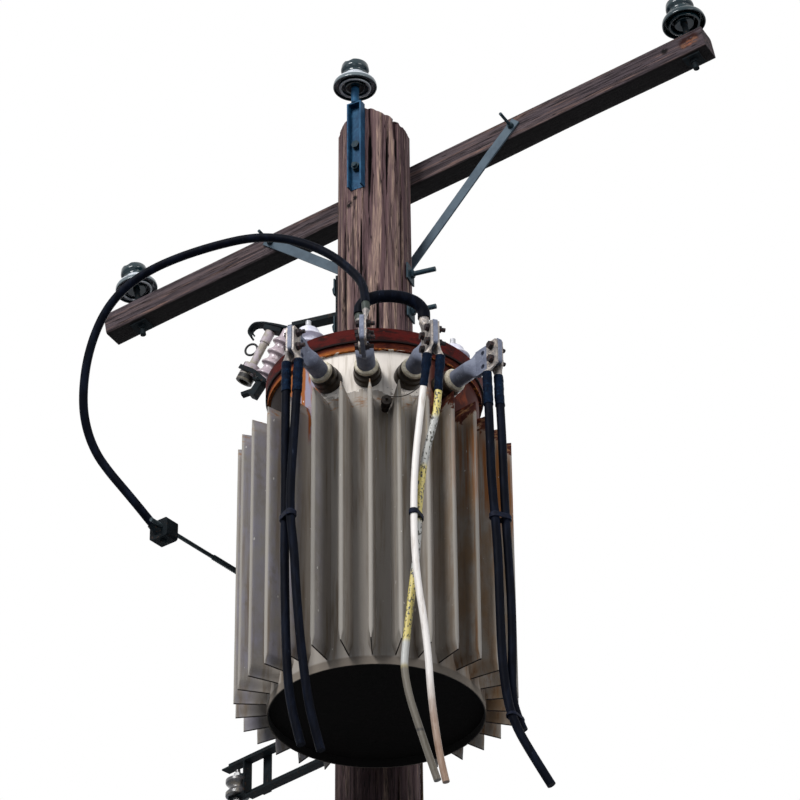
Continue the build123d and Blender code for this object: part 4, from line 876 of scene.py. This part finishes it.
def glazed(name, base, accent, dirt, size, roughness, low=0.5, clear=0.4):
    """Fired porcelain: a clear hard glaze over a clay that shows through, with dirt in matt patches."""
    material, place, _ = finish(name, roughness, 0.0, clear, Coat_Weight=clear, Coat_Roughness=0.1)
    grime = patches(place, [size] * 3, low, low + 0.18)
    colour = coats(base, (accent, patches(place, [size * 1.6] * 3, 0.4, 0.6)), (dirt, grime))
    rough = add(place.id_data, "MapRange", {"Value": grime, "To Min": roughness, "To Max": 0.6})
    return close(material, colour, patches(place, [size / 8] * 3, 0.3, 0.7), 0.0002, rough)


def insulator_glaze(name, where):
    """Dark teal glaze with painted highlights in grey on the upper skirt and on two rims, by height and
    radius from one foot.
    """
    material, place, _ = finish(name, 0.16, 0.0, 0.3, Coat_Weight=0.3, Coat_Roughness=0.08)
    _, _, height, radius = local_place(place, where)

    def ring(low, high, soft, inner, outer):
        return product(zone(height, low, high, soft), zone(radius, inner, outer, 0.0005))

    dirt = product(zone(height, 0.012, 0.2, 0.002), patches(place, (20, 20, 12), 0.56, 0.7))
    colour = coats(
        "#10262c",
        # Grey bands: painted highlights on the upper skirt and two rims, and a mid grey painted lower on the
        # outer rim
        ("#bfc3c8", ring(0.0115, 0.052, 0.001, 0.0355, 0.0705)),
        ("#bfc3c8", ring(-0.01, 0.0035, 0.001, 0.0425, 0.0515)),
        ("#5a6468", ring(0.002, 0.02, 0.002, 0.0685, 0.08)),
        ("#4a5254", dirt),
    )
    return close(material, colour)


def fuse_paint():
    """Painted fibre tube: pale lilac-cream, olive round its foot, its pull ring black and its mouth near
    black.
    """
    material, place, _ = finish("cream paint on fibre tube", 0.5, specular=0.25)
    _, forward, height, _ = local_place(place, cutout_frame)
    foot = zone(height, -0.4, -0.1975, 0.001)
    pull_ring = product(zone(forward, -0.3, -0.0765, 0.0005), zone(height, -0.17, 0.1, 0.001))
    colour = coats(
        "#a59aa0",
        ("#8d8678", patches(place, (24, 24, 30), 0.42, 0.62)),
        ("#4a4438", product(foot, patches(place, (18, 18, 18), 0.2, 0.5))),
        ("#0d0b0a", zone(height, -0.2045, -0.19, 0.0005)),
        ("#07080c", pull_ring),
    )
    return close(material, colour, patches(place, (5, 5, 5), 0.3, 0.7), 0.0003)


def crimped_tin():
    """Tinned lugs whose left barrel is taped and crimped in dark green over the loop cable."""
    material, place, (x, _, z) = finish("tinned copper with a taped crimp", 0.5, 0.35)
    colour = coats(
        "#7f7a78", ("#a59a90", patches(place, (12, 12, 12), 0.4, 0.65)),
        ("#554c48", patches(place, (5, 5, 5), 0.58, 0.68)),
        ("#16211b", product(zone(x, -0.2, 0.05, 0.001), zone(z, 7.292, 7.6, 0.002))),
    )
    return close(material, colour, patches(place, (2, 2, 2), 0.2, 0.8), 0.0004)


def white_sheath():
    """Extruded white insulation, matt, with tan dirt, and darker and browner toward the free end."""
    material, place, (*_, z) = finish("white extruded insulation", 0.5)
    low = zone(z, 5.5, 6.1, 0.12)
    colour = coats(
        "#dcd6d0",
        ("#b8aea4", patches(place, (14, 14, 90), 0.5, 0.7)),
        ("#8f7664", low),
        ("#775a44", product(low, patches(place, (14, 14, 60), 0.35, 0.7))),
        ("#6e5138", product(low, patches(place, (9, 9, 30), 0.56, 0.72))),
    )
    return close(material, colour, patches(place, (6, 6, 20), 0.3, 0.7), 0.0003)


def yellow_sheath():
    """Yellow insulation worn through in stretches to a silvery screen, with a dull brown foot."""
    material, place, (*_, z) = finish("yellow extruded insulation", 0.48)
    specks = patches(place, (6, 6, 9), 0.56, 0.6, detail=1.0)
    screens = [zone(z, *ends) for ends in ((6.82, 6.97, 0.012), (6.5, 6.655, 0.012), (6.219, 6.295, 0.01))]
    colour = coats(
        "#c6b565",
        ("#a8954a", patches(place, (12, 12, 50), 0.46, 0.7)),
        *[("#a9a8a3", screen) for screen in screens],
        ("#595246", zone(z, 5.5, 6.219, 0.012)), ("#2b2621", zone(z, 6.029, 6.037, 0.002)),
        ("#2e2c24", product(specks, zone(z, 6.3, 7.06, 0.01))),
    )
    return close(material, colour, patches(place, (5, 5, 14), 0.3, 0.7), 0.0003)


def black_sheath():
    """Rubber insulation gone blue-black, with a dull bloom and a few scuffs."""
    material, place, _ = finish("black rubber insulation", 0.55, specular=0.03)
    colour = coats(
        "#04060e",
        ("#0c111d", patches(place, (20, 20, 80), 0.42, 0.66)),
        ("#2b313e", patches(place, (6, 6, 26), 0.69, 0.74)),
    )
    return close(material, colour, patches(place, (5, 5, 30), 0.3, 0.7), 0.0003)


paint = tank_paint()
lid = lid_paint()
rust_band = band_rust()
# Sun-browned pine of the pole, its grain upright, with two knots below the pole top bracket
# One near black for the knots, their own colour, and for painted shade inside the cracks and checks
KNOT_AND_CRACK_SHADE = "#0c0707"
pole_wood = weathered_wood(
    "weathered pine trunk", (0, 0, 0), (6, 6, 170),
    ("#5f494b", "#77605e", "#2d1d1e", "#ab917f", KNOT_AND_CRACK_SHADE),
    [(KNOT_AND_CRACK_SHADE, (-0.079, -0.084, 8.386), 0.013), (KNOT_AND_CRACK_SHADE, (-0.061, -0.097, 8.402), 0.009)],
    trunk_layers,
)
# Sawn pine of the arm, darker, its grain along the arm, with a hole in near-black painted shade and a fresh
# chip at its right end
arm_marks = [
    (tint, arm_frame @ Vector((distance, 0, height)) / 1000, size) for tint, distance, height, size in (
        ("#060303", 968, 8, 0.011), ("#2b120d", 1038, 4, 0.019), ("#2b120d", 1066, 9, 0.019),
        ("#74503f", 1032, -8, 0.010), ("#80503c", 1051, -5, 0.011), ("#74503f", 1071, -2, 0.011),
    )
]
arm_wood = weathered_wood(
    "weathered sawn pine", (0, ARM_SLOPE, ARM_AZIMUTH), (170, 6, 6),
    ("#4d4347", "#5d5153", "#2c2528", "#7e6155", "#0f0b0b"), arm_marks, arm_layers,
)
black = black_sheath()
# Hot-dip zinc, dulled to a deep blue, on the channel
channel_zinc = mottled(
    "dull zinc on steel channel", "#103652", "#1f4966", 0.55, 0.1, 24, third="#0f2b44", specular=0.15)
# The same zinc on the flat braces, paler where rain washes it
brace_zinc = mottled("washed zinc on flat steel", "#48555f", "#3f4b55", 0.6, 0.1, 40, specular=0.15)
# Zinc on bolts, gone dark
bolt_zinc = mottled(
    "dark zinc on bolts", "#182c36", "#24343b", 0.6, 0.1, 12, third="#3f3028", specular=0.15)
# Zinc over the lid's fittings, pale
fitting_zinc = mottled("pale zinc on cast iron", "#a9a9ad", "#8b8c90", 0.45, 0.3, 14)
# Zinc blackened by soot, brown where light rust comes through
black_zinc = mottled(
    "blackened zinc on steel", "#0a1014", "#121a1e", 0.65, 0.05, 26, third="#33261f", specular=0.08)
# Tinned bronze castings, sand-cast and oxidised to a blue grey
tinned = mottled(
    "oxidised tinned bronze", "#6f7484", "#5f6475", 0.6, 0.15, 22, 0.0005, third="#7f8392", specular=0.3)
# Tinned copper lugs, pressed, with warm worn edges
lug_tin = mottled("worn tinned copper", "#7f7a78", "#a59a90", 0.45, 0.45, 12, third="#554c48")
crimped = crimped_tin()
# Plated bolts that have rusted
bolt_rust = mottled(
    "rusted plating on bolts", "#1d1a1c", "#2c2224", 0.7, 0.1, 14, 0.0005, third="#5a2c1f", specular=0.25)
# Moulded cream elastomer, dusty
cream = mottled("cream moulded elastomer", "#cfc6b2", "#b3a88f", 0.6, 0.0, 12, third="#8f8470")
# Cross-linked shrink tube, a satin dark blue with soft folds
shrink = mottled(
    "dark blue shrink tube", "#030c1c", "#06162a", 0.45, 0.0, 14, 0.0008, third="#0f2940", specular=0.03)
# Vinyl tape, matt black
tape = mottled("black vinyl tape", "#060a18", "#0c1326", 0.55, 0.0, 10, specular=0.08)
# Bare weathered aluminium strands
aluminium = mottled(
    "weathered aluminium strands", "#343f44", "#222c2f", 0.55, 0.3, 14, third="#5f6c70", specular=0.3)
# Bare copper gone brown
copper = mottled("brown weathered copper", "#33251d", "#4a3b2d", 0.55, 0.3, 20, specular=0.3)
# Bronze valve, dark brown patina
bronze = mottled(
    "brown patina on bronze", "#171210", "#2a211a", 0.5, 0.2, 10, third="#4b3e30", specular=0.3)
# Near-black paint on the bottom plate: painted shade under the tank
bottom_shade = mottled("painted shade on the bottom plate", "#070605", "#0d0b0a", 0.9, 0.0, 60, specular=0.05)
fibre = fuse_paint()
brown_glaze = glazed("olive brown glaze", "#17110c", "#2b2117", "#5c503a", 26, 0.35, 0.58, 0.12)
lilac_glaze = glazed("pale lilac glaze", "#cfcdd8", "#bab8c6", "#8b8890", 30, 0.2, 0.6)
pink_glaze = glazed("pinkish grey glaze", "#b5a5a8", "#a2939a", "#5f5452", 30, 0.2, 0.56)
dark_glaze = glazed("dark dirty glaze", "#3b3a3d", "#4c4a4c", "#6d655a", 24, 0.25)
# The grey bands of painted highlight stand round the left insulator of the arm, so its right one, in the same
# glaze, is all dark
arm_glaze = insulator_glaze("teal glaze with painted grey highlights", pin_places[0])
top_glaze = insulator_glaze("teal glaze with painted grey highlights, pole top", pin_places[2])

for obj, material in (
    (arm_insulators, arm_glaze), (top_insulator, top_glaze), (bushings, brown_glaze), (collars, cream),
    (hv_bushings, lilac_glaze), (cutout_post, pink_glaze), (fins[0], paint), (fins[1], paint),
    (pole, pole_wood), (arm, arm_wood), (grip, aluminium), (shrunk, shrink), (wraps, tape),
    (wire_loop, bronze), (cutout_metal, black_zinc),
):
    obj.data.materials.append(material)
sheaths = {"lead_white": white_sheath(), "lead_yellow": yellow_sheath()}
for name, cord in cords.items():
    cord.data.materials.append(sheaths.get(name, black))

node_finish = {
    "tank_wall": paint, "tank_hangers": paint, "tank_lid": lid, "lid_band": rust_band, "tank_bottom": bottom_shade,
    "relief_valve": bronze, "lv_terminals": tinned, "lead_lugs": lug_tin, "upright_lugs": crimped,
    "terminal_bolts": bolt_rust, "jumper": black, "hv_fittings": fitting_zinc, "fuse_tube": fibre,
    "pole_top_bracket": channel_zinc, "crossarm_braces": brace_zinc, "neutral_wire": aluminium,
    "lower_spool": dark_glaze, "ground_wire": copper,
    **dict.fromkeys(("arm_bolts", "brace_bolts", "through_bolts", "ground_clips"), bolt_zinc),
    **dict.fromkeys(("arm_pins", "cutout_bracket", "tap_connector", "lower_bracket"), black_zinc),
}
for name, material in node_finish.items():
    for slot in nodes[name].material_slots:
        slot.material = material

# Stage


def rays(tree, *kinds):
    """1 for rays of any of these kinds, 0 for all others."""
    seen = 0.0
    for kind in kinds:
        both = {0: seen, 1: add(tree, "LightPath", out=f"Is {kind} Ray")}
        seen = add(tree, "Math", both, operation="MAXIMUM")
    return seen


bpy.ops.mesh.primitive_plane_add(size=60)
floor = bpy.context.object
floor.name = "floor"
# Pale to look at, dark to light, so that it throws little light up under the tank
material, *_ = finish("pale floor", 0.9)
pale = coats("#1e1e20", ("#f2f2f2", rays(material.node_tree, "Camera", "Glossy")))
floor.data.materials.append(close(material, pale))

world = bpy.data.worlds.new("studio")
scene.world = world
world.use_nodes = True
tree = world.node_tree
seen = rays(tree, "Camera", "Transmission", "Glossy")
strength = add(tree, "MapRange", {"Value": seen, "To Min": 0.62, "To Max": 1.0})
background = tree.nodes["Background"]
tree.links.new(coats("#dfe8f5", ("#ffffff", seen)), background.inputs["Color"])
tree.links.new(strength, background.inputs["Strength"])


def lamp(name, place, aim, size, power):
    """A square area lamp turned to its aim."""
    data = bpy.data.lights.new(name, "AREA")
    data.size = size
    data.energy = power
    obj = bpy.data.objects.new(name, data)
    scene.collection.objects.link(obj)
    obj.location = place
    obj.rotation_euler = (Vector(aim) - Vector(place)).to_track_quat("-Z", "Y").to_euler()


TANK_MIDDLE = (0, -0.4, 7.2)
lamp("key", (-5, -7, 13), TANK_MIDDLE, 4, 1100)
lamp("fill", (6, -8, 9), TANK_MIDDLE, 4, 350)
lamp("back", (3, 9, 10), (0, 0, 6.5), 5, 350)

scene.view_settings.view_transform = "Standard"

bpy.context.view_layer.update()
